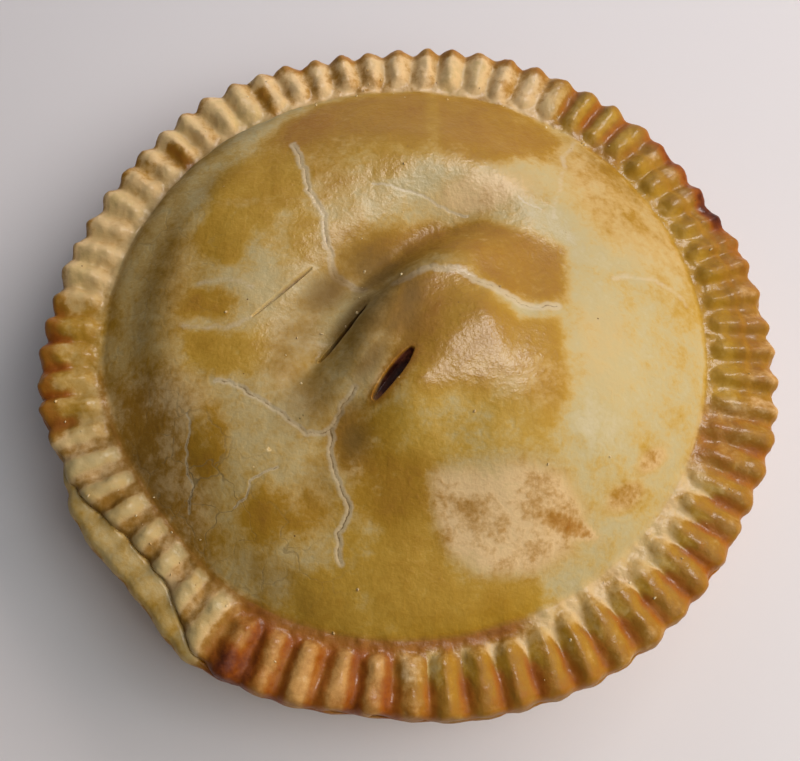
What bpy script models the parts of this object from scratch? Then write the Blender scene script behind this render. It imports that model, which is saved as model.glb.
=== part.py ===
"""A whole baked meat and potato pie, out of its dish, as one solid.

The pie stands on its flat base, with the origin under its middle, +X to the right and +Z up.
Its lid is a domed sheet of pastry that has sunk in a trough round one high hump, and its
crimped rim is that lid pressed onto the edge of the pastry case. Sizes are in metres. Bearings
are in degrees, counted anticlockwise from +X when the pie is seen from above.
"""

import math
import random

import bmesh
import bpy

# The case: a flat base, a wall that widens upwards, and the rim that hung over the dish's lip.
BASE_RADIUS = 0.0745
BASE_CORNER = 0.0045
WALL_TOP_RADIUS = 0.0805
WALL_BULGE = 0.0006
RIM_HEIGHT = 0.0320
RIM_THICKNESS = 0.0078
CASE_EDGE_THICKNESS = 0.0026
RIM_RADIUS = 0.1000
EDGE_ROUND = 0.0012

# The lid's own layer, on top of the case's edge.
LID_THICKNESS = 0.0022
LID_SETBACK = 0.0004
CREASE_RADIUS = 0.0823
CREASE_OFFSET = (-0.0017, 0.0022)
CREASE_DENT = (213, -0.0030, 20)
CREASE_DROP = 0.0022

# The crimps: ridges left between the marks of a finger, all the way round. They drift a little
# along the rim: (bearing, drift, spread). Each has a round inner end, a little past the crease.
CRIMPS = 69
COLUMNS_PER_CRIMP = 6
FIRST_CRIMP = 4.6
CRIMP_DRIFTS = ((173, -4.3, 73), (212, -2.6, 27))
CRIMP_JITTER = 0.25
CRIMP_TILT = 0.16
CRIMP_LEAN = (10, 0.35, 36)
CRIMP_DEPTH = 0.0021
CRIMP_SHARPNESS = 0.75
CRIMP_END = 0.0042
CREASE_MOAT = 0.0010
NEAR_MOAT = (198, 332, 24, 0.0016)
CRIMP_SCALLOP = 0.0010
QUIET_EDGES = ((266, 0.65, 28), (40, 0.6, 26))
EDGE_DROOP = 0.0016
DROOP_REACH = 0.0040
SEED = 8

# How far the outer edge swells past or falls short of the true circle: (bearing, swell, spread).
EDGE_SWELLS = (
    (5, -0.0008, 12),
    (29, -0.0017, 10),
    (72, 0.0014, 14),
    (100, -0.0006, 8),
    (125, 0.0021, 16),
    (186, 0.0010, 10),
    (200, -0.0022, 5),
    (223, -0.0022, 9),
    (237, 0.0014, 6),
    (264, -0.0015, 9),
    (300, 0.0009, 10),
    (331, -0.0010, 8),
)

# Where the lid stops short of the case's edge: first and last bearing, ends, how far, how low.
LEDGE = (207, 235, 18, 0.0080, 0.0030)

# A fold line across the crimps at the right, past which the rim lies a little lower: the first
# and last bearing, ends, how far inside the edge, how low.
FOLD_LINE = (-12, 44, 10, 0.0075, 0.0005)
FOLD_WIDTH = 0.0005

# Crimps that were smeared flat near the crease.
SMEAR_BEARING = 344
SMEAR_SPREAD = 9
SMEAR_REACH = 0.6

# Crimps that were pressed less deep at the near right: bearing, share of the depth, spread.
FAINT_CRIMPS = (322, 0.25, 30)

# The lid's dome falls with a power of the way out, and is steeper where it slumped to the left:
# (bearing, change, spread). The relief on it fades out over the shoulder.
DOME_HEIGHT = 0.0150
DOME_POWER = 3.3
DOME_ROUNDNESS = 0.85
FULLER_SIDES = ((165, 0.7, 35), (232, -0.7, 30))
ROUNDER_SIDES = ((138, -0.35, 30), (185, 0.2, 30))
SHOULDER = 0.3

# On the left the shoulder drops in one step to a shallow moat along the crease.
LEFT_STEP = (170, 0.0015, 32)
LEFT_STEP_SHARE = 0.84
LEFT_STEP_WIDTH = 0.055

# The high hump falls gently to the right. At its far left it falls in two steep steps, which
# join into one lower step at the near left, past LEG_TURN: start and length of the change, how
# much further out the upper step is there, and the share of the height that is left outside.
HUMP_PLACE = (0.026, -0.020)
HUMP_HEIGHT = 0.0095
GENTLE_REACH = 0.050
STEEP_SIDE = (96, 204, 44)
UPPER_STEP = (0.38, 0.016, 0.034)
LOWER_STEP = (0.0385, 0.0525)
LEG_TURN = (158, 36, 0.009, 0.40)

# The trough at the foot of the steps: first and last bearing, ends, radius, depth and width.
TROUGH = (98, 174, 30, 0.053, 0.0034, 0.008)

# A long swell along the far side of the lid: radius, height, width, bearing, spread.
FAR_SWELL = (0.054, 0.0034, 0.012, 78, 45)

# Smaller rises and dips: (x, y), (half length, half width), turn, height.
LID_MOUNDS = (
    ((-0.062, 0.024), (0.009, 0.015), 0, -0.0016),
    ((-0.004, 0.016), (0.013, 0.007), 40, -0.0022),
    ((-0.0120, -0.0120), (0.014, 0.004), 54, 0.0008),
    ((-0.0175, -0.0028), (0.015, 0.0024), 52, -0.0022),
    ((-0.0222, 0.0006), (0.012, 0.0022), 52, 0.0006),
    ((0.000, -0.046), (0.010, 0.020), -10, 0.0010),
    ((-0.021, -0.040), (0.006, 0.014), 0, -0.0008),
)

# Three parallel vent cuts: (x, y) of the middle, length, width, depth, turn.
VENT_CUTS = (
    ((-0.0338, 0.0086), 0.0222, 0.0009, 0.0010, 44),
    ((-0.0176, -0.0036), 0.0203, 0.0012, 0.0030, 51),
    ((-0.0043, -0.0179), 0.0172, 0.0034, 0.0045, 54),
)
VENT_SIDES = 16
VENT_RINGS = 8

# Two radii closer than this are the same ring of the blank.
TINY = 0.00001

# The share of the turned mesh's faces that is kept once the plain parts are thinned.
KEPT_FACES = 0.36

CRUST_COLOUR = (0.56, 0.36, 0.13, 1.0)
CRUST_ROUGHNESS = 0.55


def clear_scene():
    for leftover in list(bpy.data.objects):
        bpy.data.objects.remove(leftover, do_unlink=True)


def new_collection(name):
    collection = bpy.data.collections.new(name)
    bpy.context.scene.collection.children.link(collection)
    return collection


def smoothstep(value):
    """0 below 0, 1 above 1, and an S curve between."""
    share = min(max(value, 0.0), 1.0)
    return share * share * (3.0 - 2.0 * share)


def bell(distance, width):
    return math.exp(-((distance / width) ** 2))


def turn_between(bearing, other):
    """The signed angle from one bearing to another, from -180 to 180."""
    return (bearing - other + 180.0) % 360.0 - 180.0


def lobe(bearing, centre, spread):
    return bell(turn_between(bearing, centre), spread)


def between(bearing, first, last, ends):
    """1 inside a stretch of the rim, easing to 0 over its two ends."""
    middle = (first + last) / 2.0
    inside = (last - first) / 2.0 - abs(turn_between(bearing, middle))
    return smoothstep(0.5 + inside / ends)


# ---- The crimps' places and sizes ----


def crimp_table():
    """The bearing, relative size and tilt of each ridge, with a slow drift and a little jitter."""
    rng = random.Random(SEED)
    table = []
    for number in range(CRIMPS):
        bearing = FIRST_CRIMP + 360.0 * number / CRIMPS
        drift = sum(swing * lobe(bearing, centre, spread) for centre, swing, spread in CRIMP_DRIFTS)
        jitter = rng.uniform(-CRIMP_JITTER, CRIMP_JITTER)
        tilt = rng.uniform(-CRIMP_TILT, CRIMP_TILT)
        table.append((bearing + drift + jitter, rng.uniform(0.75, 1.1), tilt))
    return table


CRIMP_TABLE = crimp_table()


def crimp_at(count):
    """The bearing, size and tilt at a count of crimps that need not be whole."""
    number = math.floor(count)
    share = count - number
    start, size, tilt = CRIMP_TABLE[number % CRIMPS]
    end, next_size, next_tilt = CRIMP_TABLE[(number + 1) % CRIMPS]
    bearing = start + share * turn_between(end, start)
    return bearing, size + share * (next_size - size), tilt + share * (next_tilt - tilt)


def crest(count, bearing, inner_end):
    """1 on a ridge, 0 in a furrow, falling off round the ridge's inner end."""
    phase = 2.0 * (count - math.floor(count + 0.5))
    across = phase + CRIMP_LEAN[1] * lobe(bearing, CRIMP_LEAN[0], CRIMP_LEAN[2]) * (1.0 - phase**2)
    away = min(math.hypot(across, inner_end), 1.0)
    return (0.5 + 0.5 * math.cos(math.pi * away)) ** CRIMP_SHARPNESS


# ---- The rim ----


def case_edge(bearing):
    """The outer radius of the case's edge, before the crimps scallop it."""
    return RIM_RADIUS + sum(swell * lobe(bearing, centre, spread) for centre, swell, spread in EDGE_SWELLS)


def lid_edge(bearing):
    """The radius where the lid's layer ends, and how far the case's edge lies below it."""
    first, last, ends, back, low = LEDGE
    share = between(bearing, first, last, ends)
    return case_edge(bearing) - LID_SETBACK - share * back, LID_THICKNESS + share * (low - LID_THICKNESS)


def crease(bearing):
    """The radius of the crease where the dome meets the rim."""
    angle = math.radians(bearing)
    offset = CREASE_OFFSET[0] * math.cos(angle) + CREASE_OFFSET[1] * math.sin(angle)
    centre, swell, spread = CREASE_DENT
    return CREASE_RADIUS + offset + swell * lobe(bearing, centre, spread)


def scallop(bearing, ridge):
    """How far a ridge pushes the edge out: less at the near side, and least on the ledge."""
    first, last, ends, _, _ = LEDGE
    gain = 1.0 - 0.7 * between(bearing, first, last, ends)
    for centre, share, spread in QUIET_EDGES:
        gain = gain * (1.0 - share * lobe(bearing, centre, spread))
    return CRIMP_SCALLOP * (ridge - 0.6) * gain


def rim_crest(share, radius, bearing, count, tilt):
    """The crest at a radius of the rim, whose ridges run a little askew."""
    first, last, ends, wider = NEAR_MOAT
    moat = CREASE_MOAT + wider * between(bearing, first, last, ends)
    inner_end = min(max(1.0 - (radius - crease(bearing) - moat) / CRIMP_END, 0.0), 1.0)
    return crest(count + tilt * (share - 0.5), bearing, inner_end)


def rim_top(share, radius, bearing, size, ridge):
    """The height of the rim's top at a share of the way from the crease to its edge."""
    edge, _ = lid_edge(bearing)
    past = min(max(1.0 - (edge - radius) / DROOP_REACH, 0.0), 1.0)
    droop = EDGE_DROOP * (1.0 - math.sqrt(1.0 - past**2))
    first, last, ends, back, low = FOLD_LINE
    past_fold = radius - case_edge(bearing) + back
    fold = low * between(bearing, first, last, ends) * smoothstep(past_fold / FOLD_WIDTH)
    smear = lobe(bearing, SMEAR_BEARING, SMEAR_SPREAD) * (1.0 - smoothstep(share / SMEAR_REACH))
    centre, share_lost, spread = FAINT_CRIMPS
    height = CRIMP_DEPTH * size * ridge * (1.0 - 0.8 * smear) * (1.0 - share_lost * lobe(bearing, centre, spread))
    return RIM_HEIGHT - CREASE_DROP - droop - fold + height


# ---- The lid ----


def mound(x, y, place, half_sizes, turn):
    """An oval rise, 1 at its middle."""
    cos_turn = math.cos(math.radians(turn))
    sin_turn = math.sin(math.radians(turn))
    along = (x - place[0]) * cos_turn + (y - place[1]) * sin_turn
    across = (y - place[1]) * cos_turn - (x - place[0]) * sin_turn
    return bell(along, half_sizes[0]) * bell(across, half_sizes[1])


def hump(x, y):
    """The high hump, less the trough at the foot of its steep side."""
    dx = x - HUMP_PLACE[0]
    dy = y - HUMP_PLACE[1]
    away = math.hypot(dx, dy)
    bearing = math.degrees(math.atan2(dy, dx)) % 360.0
    first, length, further, left_over = LEG_TURN
    leg = smoothstep((bearing - first) / length)
    share, start, end = UPPER_STEP
    upper = 1.0 - smoothstep((away - start - further * leg) / (end - start))
    lower = 1.0 - smoothstep((away - LOWER_STEP[0]) / (LOWER_STEP[1] - LOWER_STEP[0]))
    stepped = upper * (share + (1.0 - share) * leg) + lower * (1.0 - share) * (1.0 - leg)
    stepped += left_over * leg * (1.0 - upper)
    gentle = 1.0 - smoothstep(away / GENTLE_REACH)
    steep = between(bearing, *STEEP_SIDE)
    first, last, ends, radius, depth, width = TROUGH
    trough = depth * between(bearing, first, last, ends) * bell(away - radius, width)
    return HUMP_HEIGHT * (gentle + steep * (stepped - gentle)) - trough


def lid_height(x, y):
    """How high the lid stands above the crease."""
    bearing = math.degrees(math.atan2(y, x))
    share = min(math.hypot(x, y) / crease(bearing), 1.0)
    power = DOME_POWER
    for centre, change, spread in FULLER_SIDES:
        power += change * lobe(bearing, centre, spread)
    roundness = DOME_ROUNDNESS
    for centre, change, spread in ROUNDER_SIDES:
        roundness += change * lobe(bearing, centre, spread)
    dome = DOME_HEIGHT * (1.0 - share**power) ** roundness
    slump = LEFT_STEP[1] * lobe(bearing, LEFT_STEP[0], LEFT_STEP[2])
    brow = bell(share - LEFT_STEP_SHARE + LEFT_STEP_WIDTH, LEFT_STEP_WIDTH * 1.4)
    moat = bell(share - LEFT_STEP_SHARE - LEFT_STEP_WIDTH, LEFT_STEP_WIDTH)
    radius, height, width, centre, spread = FAR_SWELL
    relief = hump(x, y) + height * bell(math.hypot(x, y) - radius, width) * lobe(bearing, centre, spread)
    for place, half_sizes, turn, rise in LID_MOUNDS:
        relief += rise * mound(x, y, place, half_sizes, turn)
    return dome + slump * (brow - 0.5 * moat) + relief * smoothstep((1.0 - share) / SHOULDER)


# ---- The turned blank ----

LID_RINGS = (0.0, 0.10, 0.20, 0.30, 0.39, 0.48, 0.56, 0.64, 0.72, 0.79, 0.85, 0.90, 0.94, 0.97, 0.99)
RIM_RINGS = (0.0, 0.07, 0.15, 0.26, 0.5, 0.78, 0.92, 1.0)
WALL_RINGS = (0.0, 0.35, 0.7, 1.0)
LID_EDGE_RADIUS = RIM_RADIUS - LID_SETBACK


UNDER_LEVEL = RIM_HEIGHT - RIM_THICKNESS
LEDGE_LEVEL = RIM_HEIGHT - LID_THICKNESS


def blank_profile():
    """Half of the blank's section, from the middle of its lid out, down and back to the middle."""
    points = [(share * CREASE_RADIUS, RIM_HEIGHT) for share in LID_RINGS]
    rim_width = LID_EDGE_RADIUS - CREASE_RADIUS
    points += [(CREASE_RADIUS + share * rim_width, RIM_HEIGHT) for share in RIM_RINGS]
    points.append((LID_EDGE_RADIUS, LEDGE_LEVEL))
    points.append((RIM_RADIUS - EDGE_ROUND / 8.0, LEDGE_LEVEL))
    points.append((RIM_RADIUS, (LEDGE_LEVEL + UNDER_LEVEL) / 2.0))
    points.append((RIM_RADIUS - EDGE_ROUND, UNDER_LEVEL))
    points.append((WALL_TOP_RADIUS + EDGE_ROUND, UNDER_LEVEL))
    wall_height = UNDER_LEVEL - EDGE_ROUND - BASE_CORNER
    for share in WALL_RINGS:
        radius = WALL_TOP_RADIUS + share * (BASE_RADIUS - WALL_TOP_RADIUS)
        bulge = WALL_BULGE * math.sin(math.pi * share)
        points.append((radius + bulge, BASE_CORNER + (1.0 - share) * wall_height))
    for angle in (math.radians(45.0), math.radians(90.0)):
        radius = BASE_RADIUS - BASE_CORNER * (1.0 - math.cos(angle))
        points.append((radius, BASE_CORNER * (1.0 - math.sin(angle))))
    points.append((BASE_RADIUS / 2.0, 0.0))
    points.append((0.0, 0.0))
    return points


def turned_blank():
    """The plain turned pie, as a mesh with a column of points for each part of each crimp."""
    profile = blank_profile()
    edges = [(i, i + 1) for i in range(len(profile) - 1)]
    mesh = bpy.data.meshes.new("blank_profile")
    mesh.from_pydata([(radius, 0.0, level) for radius, level in profile], edges, [])
    blank = bpy.data.objects.new("blank", mesh)
    bpy.context.scene.collection.objects.link(blank)
    screw = blank.modifiers.new("turn", "SCREW")
    screw.steps = CRIMPS * COLUMNS_PER_CRIMP
    screw.render_steps = screw.steps
    screw.use_merge_vertices = True
    screw.merge_threshold = 0.00001
    graph = bpy.context.evaluated_depsgraph_get()
    turned = bpy.data.meshes.new_from_object(blank.evaluated_get(graph))
    bpy.data.objects.remove(blank, do_unlink=True)
    bpy.data.meshes.remove(mesh)
    return turned


# ---- The pie ----


def shaped_point(x, y, z):
    """Where a point of the plain blank lies on the baked pie."""
    radius = math.hypot(x, y)
    count = math.degrees(math.atan2(y, x)) % 360.0 * CRIMPS / 360.0
    bearing, size, tilt = crimp_at(count)
    angle = math.radians(bearing)
    if z > (RIM_HEIGHT + LEDGE_LEVEL) / 2.0 and radius < CREASE_RADIUS - TINY:
        radius *= crease(bearing) / CREASE_RADIUS
        x = radius * math.cos(angle)
        y = radius * math.sin(angle)
        return x, y, RIM_HEIGHT - CREASE_DROP + lid_height(x, y)
    edge, drop = lid_edge(bearing)
    if z > (RIM_HEIGHT + LEDGE_LEVEL) / 2.0:
        share = (radius - CREASE_RADIUS) / (LID_EDGE_RADIUS - CREASE_RADIUS)
        radius = crease(bearing) + share * (edge - crease(bearing))
        ridge = rim_crest(share, radius, bearing, count, tilt)
        z = rim_top(share, radius, bearing, size, ridge)
        radius += scallop(bearing, ridge) * smoothstep((share - 0.5) / 0.5)
    elif radius > RIM_RADIUS - 1.5 * EDGE_ROUND:
        ridge = rim_crest(1.0, edge, bearing, count, tilt)
        foot = rim_top(1.0, edge, bearing, size, ridge) - drop
        foot = max(foot, UNDER_LEVEL + CASE_EDGE_THICKNESS)
        z = UNDER_LEVEL + (z - UNDER_LEVEL) * (foot - UNDER_LEVEL) / (LEDGE_LEVEL - UNDER_LEVEL)
        if abs(radius - LID_EDGE_RADIUS) < TINY:
            radius = edge + LID_SETBACK / 4.0 + scallop(bearing, ridge)
        else:
            radius += case_edge(bearing) - RIM_RADIUS + scallop(bearing, ridge)
    return radius * math.cos(angle), radius * math.sin(angle), z


def crust_material():
    material = bpy.data.materials.new("baked_pastry")
    material.use_nodes = True
    shader = material.node_tree.nodes["Principled BSDF"]
    shader.inputs["Base Color"].default_value = CRUST_COLOUR
    shader.inputs["Roughness"].default_value = CRUST_ROUGHNESS
    shader.inputs["Metallic"].default_value = 0.0
    return material


def add_pie(collection):
    mesh = turned_blank()
    mesh.name = "pie"
    for vertex in mesh.vertices:
        vertex.co = shaped_point(*vertex.co)
    mesh.materials.append(crust_material())
    mesh.shade_smooth()
    pie = bpy.data.objects.new("pie", mesh)
    collection.objects.link(pie)
    thin = pie.modifiers.new("thin_plain_parts", "DECIMATE")
    thin.ratio = KEPT_FACES
    return pie


def add_vent_cutters(collection):
    """Slim oval blades, laid along the slope of the lid, that open it where the knife went in."""
    for number, (place, length, width, depth, turn) in enumerate(VENT_CUTS, 1):
        mesh = bpy.data.meshes.new(f"vent_cutter_{number}")
        blade = bmesh.new()
        bmesh.ops.create_uvsphere(blade, u_segments=VENT_SIDES, v_segments=VENT_RINGS, radius=1.0)
        bmesh.ops.scale(blade, vec=(length / 2.0, width / 2.0, depth), verts=blade.verts)
        blade.to_mesh(mesh)
        blade.free()
        along_x = math.cos(math.radians(turn)) * length / 3.0
        along_y = math.sin(math.radians(turn)) * length / 3.0
        high_end = lid_height(place[0] + along_x, place[1] + along_y)
        low_end = lid_height(place[0] - along_x, place[1] - along_y)
        slope = math.atan2(high_end - low_end, length / 1.5)
        middle = RIM_HEIGHT - CREASE_DROP + (high_end + low_end) / 2.0
        cutter = bpy.data.objects.new(mesh.name, mesh)
        cutter.location = (place[0], place[1], middle)
        cutter.rotation_euler = (0.0, -slope, math.radians(turn))
        cutter.hide_render = True
        cutter.display_type = "WIRE"
        collection.objects.link(cutter)


def cut_vents(pie, cutters):
    cut = pie.modifiers.new("cut_vents", "BOOLEAN")
    cut.operation = "DIFFERENCE"
    cut.operand_type = "COLLECTION"
    cut.collection = cutters
    cut.solver = "EXACT"


clear_scene()
parts = new_collection("meat_and_potato_pie")
cutters = new_collection("vent_cutters")
pie = add_pie(parts)
add_vent_cutters(cutters)
cut_vents(pie, cutters)
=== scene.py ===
"""A whole baked meat and potato pie, out of its dish: the looks of its crust.

Sizes are in metres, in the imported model's frame: the origin under the middle of the flat base,
+X to the right, +Y away and +Z up. Bearings are in degrees, anticlockwise from +X as seen from above.
"""

import math
import random

import bmesh
import bpy
import numpy as np
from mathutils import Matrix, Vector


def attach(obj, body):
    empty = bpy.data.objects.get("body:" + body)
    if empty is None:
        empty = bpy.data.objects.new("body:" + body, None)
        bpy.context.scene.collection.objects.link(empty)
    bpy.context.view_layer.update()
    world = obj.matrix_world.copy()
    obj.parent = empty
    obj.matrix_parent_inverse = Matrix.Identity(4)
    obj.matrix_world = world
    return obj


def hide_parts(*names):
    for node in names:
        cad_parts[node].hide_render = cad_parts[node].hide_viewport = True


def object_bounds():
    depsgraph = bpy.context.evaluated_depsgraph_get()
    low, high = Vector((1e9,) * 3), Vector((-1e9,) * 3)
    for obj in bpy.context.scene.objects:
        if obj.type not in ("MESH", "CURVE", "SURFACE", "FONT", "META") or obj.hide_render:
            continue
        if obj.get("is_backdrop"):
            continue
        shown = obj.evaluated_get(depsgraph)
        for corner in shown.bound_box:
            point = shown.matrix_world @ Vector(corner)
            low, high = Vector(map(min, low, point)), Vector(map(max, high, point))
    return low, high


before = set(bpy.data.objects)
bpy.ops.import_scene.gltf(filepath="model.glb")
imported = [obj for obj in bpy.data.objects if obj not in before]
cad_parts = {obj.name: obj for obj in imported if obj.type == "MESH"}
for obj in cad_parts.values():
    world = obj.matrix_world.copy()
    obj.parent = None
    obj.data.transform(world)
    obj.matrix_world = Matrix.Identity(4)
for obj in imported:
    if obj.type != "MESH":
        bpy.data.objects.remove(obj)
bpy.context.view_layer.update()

# ======================================================================================
# The case
# Shortcrust dough rolled out and pressed into a round dish, with its edge left hanging over
# the dish's lip. It makes the flat base, the sloping wall and the lower layer of the rim,
# which is all that shows at the lower left, where the lid stops short.
# ======================================================================================

MM = 0.001

# The wall of the case leans out from a rounded base corner, and bulges a little.
BASE_RADIUS = 0.0745
BASE_CORNER = 0.0045
WALL_TOP_RADIUS = 0.0805
WALL_BULGE = 0.0006

# The rim is two layers of dough pressed together, the lid's a little short of the case's.
RIM_HEIGHT = 0.0320
RIM_THICKNESS = 0.0078
CASE_EDGE_THICKNESS = 0.0026
RIM_RADIUS = 0.1000
EDGE_ROUND = 0.0012
LID_THICKNESS = 0.0022
LID_SETBACK = 0.0004
UNDER_LEVEL = RIM_HEIGHT - RIM_THICKNESS

# The crease between the dome and the rim is a circle off the middle, with a dent in it: its
# bearing, swell and spread. It lies this much lower than the rim's ridges.
CREASE_RADIUS = 0.0823
CREASE_OFFSET = (-0.0017, 0.0022)
CREASE_DENT = (213, -0.0030, 20)
CREASE_DROP = 0.0022

# The finger marks that press lid and case together: 69 ridges, about 9 mm apart. They drift
# from even spacing, each drift with its bearing, swing and spread, and vary in size and tilt.
CRIMPS = 69
FIRST_CRIMP = 4.6
CRIMP_DRIFTS = ((173, -4.3, 73), (212, -2.6, 27))
CRIMP_JITTER = 0.25
CRIMP_SIZES = (0.75, 1.1)
CRIMP_TILT = 0.16
CRIMP_DEPTH = 0.0021
CRIMP_SHARPNESS = 0.75
SEED = 8

# Each ridge has a rounded inner end, past a flat moat beside the crease, which is wider at the
# near side: first and last bearing, ends, how much wider.
CRIMP_END = 0.0042
CREASE_MOAT = 0.0010
NEAR_MOAT = (198, 332, 24, 0.0016)

# Crimps that lean over at the right: bearing, amount, spread.
CRIMP_LEAN = (10, 0.35, 36)

# The crimps scallop the outer edge, less so in places: bearing, share lost, spread. The edge
# keeps to its circle where a ridge has this share of its height.
CRIMP_SCALLOP = 0.0010
QUIET_EDGES = ((266, 0.65, 28), (40, 0.6, 26))
QUIET_LEDGE = 0.7
SCALLOP_MIDDLE = 0.6

# The rim's top rounds over and droops towards its edge.
EDGE_DROOP = 0.0016
DROOP_REACH = 0.0040

# How far the outer edge swells past or falls short of the true circle: (bearing, swell, spread).
EDGE_SWELLS = (
    (5, -0.0008, 12),
    (29, -0.0017, 10),
    (72, 0.0014, 14),
    (100, -0.0006, 8),
    (125, 0.0021, 16),
    (186, 0.0010, 10),
    (200, -0.0022, 5),
    (223, -0.0022, 9),
    (237, 0.0014, 6),
    (264, -0.0015, 9),
    (300, 0.0009, 10),
    (331, -0.0010, 8),
)

# Where the lid stops short of the case's edge: first and last bearing, ends, how far, how low.
LEDGE = (207, 235, 18, 0.0080, 0.0030)

# A fold line across the crimps at the right, past which the rim lies a little lower: the first
# and last bearing, ends, how far inside the edge, how low.
FOLD_LINE = (-12, 44, 10, 0.0075, 0.0005)
FOLD_WIDTH = 0.0005

# Crimps that were smeared flat near the crease: bearing, spread, reach, share of height lost.
SMEAR = (344, 9, 0.6, 0.8)

# Crimps that were pressed less deep at the near right: bearing, share of height lost, spread.
FAINT_CRIMPS = (322, 0.25, 30)


def smoothstep(value):
    """0 below 0, 1 above 1, and an S curve between."""
    share = np.clip(value, 0.0, 1.0)
    return share * share * (3.0 - 2.0 * share)


def bell(distance, width):
    """1 at no distance, and a third or so at one width."""
    return np.exp(-((distance / width) ** 2))


def turn_between(bearing, other):
    """The signed angle from one bearing to another, from -180 to 180."""
    return (bearing - other + 180.0) % 360.0 - 180.0


def lobe(bearing, centre, spread):
    """1 at a centre bearing, fading round the rim to both sides."""
    return bell(turn_between(bearing, centre), spread)


def between(bearing, first, last, ends):
    """1 inside a stretch of the rim, easing to 0 over its two ends."""
    middle = (first + last) / 2.0
    inside = (last - first) / 2.0 - np.abs(turn_between(bearing, middle))
    return smoothstep(0.5 + inside / ends)


def crimp_table():
    """The bearing, relative size and tilt of each ridge, with a slow drift and a little jitter."""
    rng = random.Random(SEED)
    table = []
    for number in range(CRIMPS):
        bearing = FIRST_CRIMP + 360.0 * number / CRIMPS
        drift = sum(swing * lobe(bearing, centre, spread) for centre, swing, spread in CRIMP_DRIFTS)
        jitter = rng.uniform(-CRIMP_JITTER, CRIMP_JITTER)
        tilt = rng.uniform(-CRIMP_TILT, CRIMP_TILT)
        table.append((bearing + drift + jitter, rng.uniform(*CRIMP_SIZES), tilt))
    table.append((table[0][0] + 360.0, *table[0][1:]))
    return np.array(table)


CRIMP_TABLE = crimp_table()


def crimp_at(count):
    """The bearing, size and tilt of the rim at a count of crimps that need not be whole."""
    return [np.interp(count % CRIMPS, np.arange(CRIMPS + 1), column) for column in CRIMP_TABLE.T]


def ridge_phase(count):
    """The place across a ridge, from -1 to 1, with 0 on its crest."""
    return 2.0 * (count - np.round(count))


def crimp_lean(bearing):
    """How far the ridges lean over."""
    centre, amount, spread = CRIMP_LEAN
    return amount * lobe(bearing, centre, spread)


def case_edge(bearing):
    """The outer radius of the case's edge, before the crimps scallop it."""
    radius = RIM_RADIUS
    for centre, swell, spread in EDGE_SWELLS:
        radius = radius + swell * lobe(bearing, centre, spread)
    return radius


def lid_edge(bearing):
    """The radius where the lid's layer ends, and how far the case's edge lies below it."""
    first, last, ends, back, low = LEDGE
    share = between(bearing, first, last, ends)
    return case_edge(bearing) - LID_SETBACK - share * back, LID_THICKNESS + share * (low - LID_THICKNESS)


def crease(bearing):
    """The radius of the crease where the dome meets the rim."""
    angle = np.radians(bearing)
    offset = CREASE_OFFSET[0] * np.cos(angle) + CREASE_OFFSET[1] * np.sin(angle)
    centre, swell, spread = CREASE_DENT
    return CREASE_RADIUS + offset + swell * lobe(bearing, centre, spread)


def moat(bearing):
    """How far past the crease the ridges begin: further out at the near side."""
    first, last, ends, wider = NEAR_MOAT
    return CREASE_MOAT + wider * between(bearing, first, last, ends)


def rim_level(inside):
    """The height of the rim's top without its ridges, at a distance inside its edge."""
    past = np.clip(1.0 - inside / DROOP_REACH, 0.0, 1.0)
    return RIM_HEIGHT - CREASE_DROP - EDGE_DROOP * (1.0 - np.sqrt(1.0 - past**2))


def ridge_gain(share, bearing, size):
    """The relative height of the ridges, of which some are smeared flat and some are faint."""
    centre, spread, reach, smeared = SMEAR
    smear = smeared * lobe(bearing, centre, spread) * (1.0 - smoothstep(share / reach))
    centre, faded, spread = FAINT_CRIMPS
    return size * (1.0 - smear) * (1.0 - faded * lobe(bearing, centre, spread))


def scallop_gain(bearing):
    """How far the crimps scallop the edge: less at the near side, the far right and the ledge."""
    first, last, ends, _, _ = LEDGE
    gain = 1.0 - QUIET_LEDGE * between(bearing, first, last, ends)
    for centre, share_lost, spread in QUIET_EDGES:
        gain = gain * (1.0 - share_lost * lobe(bearing, centre, spread))
    return gain


def add_node(tree, kind, inputs=None, **settings):
    """Adds a node with its settings. inputs pairs each socket with a value or another socket."""
    made = tree.nodes.new(kind)
    for name, value in settings.items():
        setattr(made, name, value)
    for socket, value in (inputs or {}).items():
        if isinstance(value, bpy.types.NodeSocket):
            tree.links.new(value, made.inputs[socket])
        else:
            made.inputs[socket].default_value = value
    return made


def new_tree(name, sizes, whole_numbers=()):
    """A Geometry Nodes tree that takes a mesh, named sizes, whole numbers and a material."""
    tree = bpy.data.node_groups.new(name, "GeometryNodeTree")
    tree.interface.new_socket("Geometry", in_out="INPUT", socket_type="NodeSocketGeometry")
    for size in sizes:
        tree.interface.new_socket(size, in_out="INPUT", socket_type="NodeSocketFloat")
    for number in whole_numbers:
        tree.interface.new_socket(number, in_out="INPUT", socket_type="NodeSocketInt")
    tree.interface.new_socket("Material", in_out="INPUT", socket_type="NodeSocketMaterial")
    tree.interface.new_socket("Geometry", in_out="OUTPUT", socket_type="NodeSocketGeometry")
    return tree, add_node(tree, "NodeGroupInput"), add_node(tree, "NodeGroupOutput")


def finished_by(tree, source, name, values):
    """The plain object that a tree makes of a source object, which is then removed."""
    modifier = source.modifiers.new(tree.name, "NODES")
    modifier.node_group = tree
    for socket in tree.interface.items_tree:
        if socket.in_out == "INPUT" and socket.name in values:
            modifier[socket.identifier] = values[socket.name]
    graph = bpy.context.evaluated_depsgraph_get()
    mesh = bpy.data.meshes.new_from_object(source.evaluated_get(graph))
    mesh.name = name
    bpy.data.objects.remove(source, do_unlink=True)
    made = bpy.data.objects.new(name, mesh)
    bpy.context.scene.collection.objects.link(made)
    return made


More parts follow.
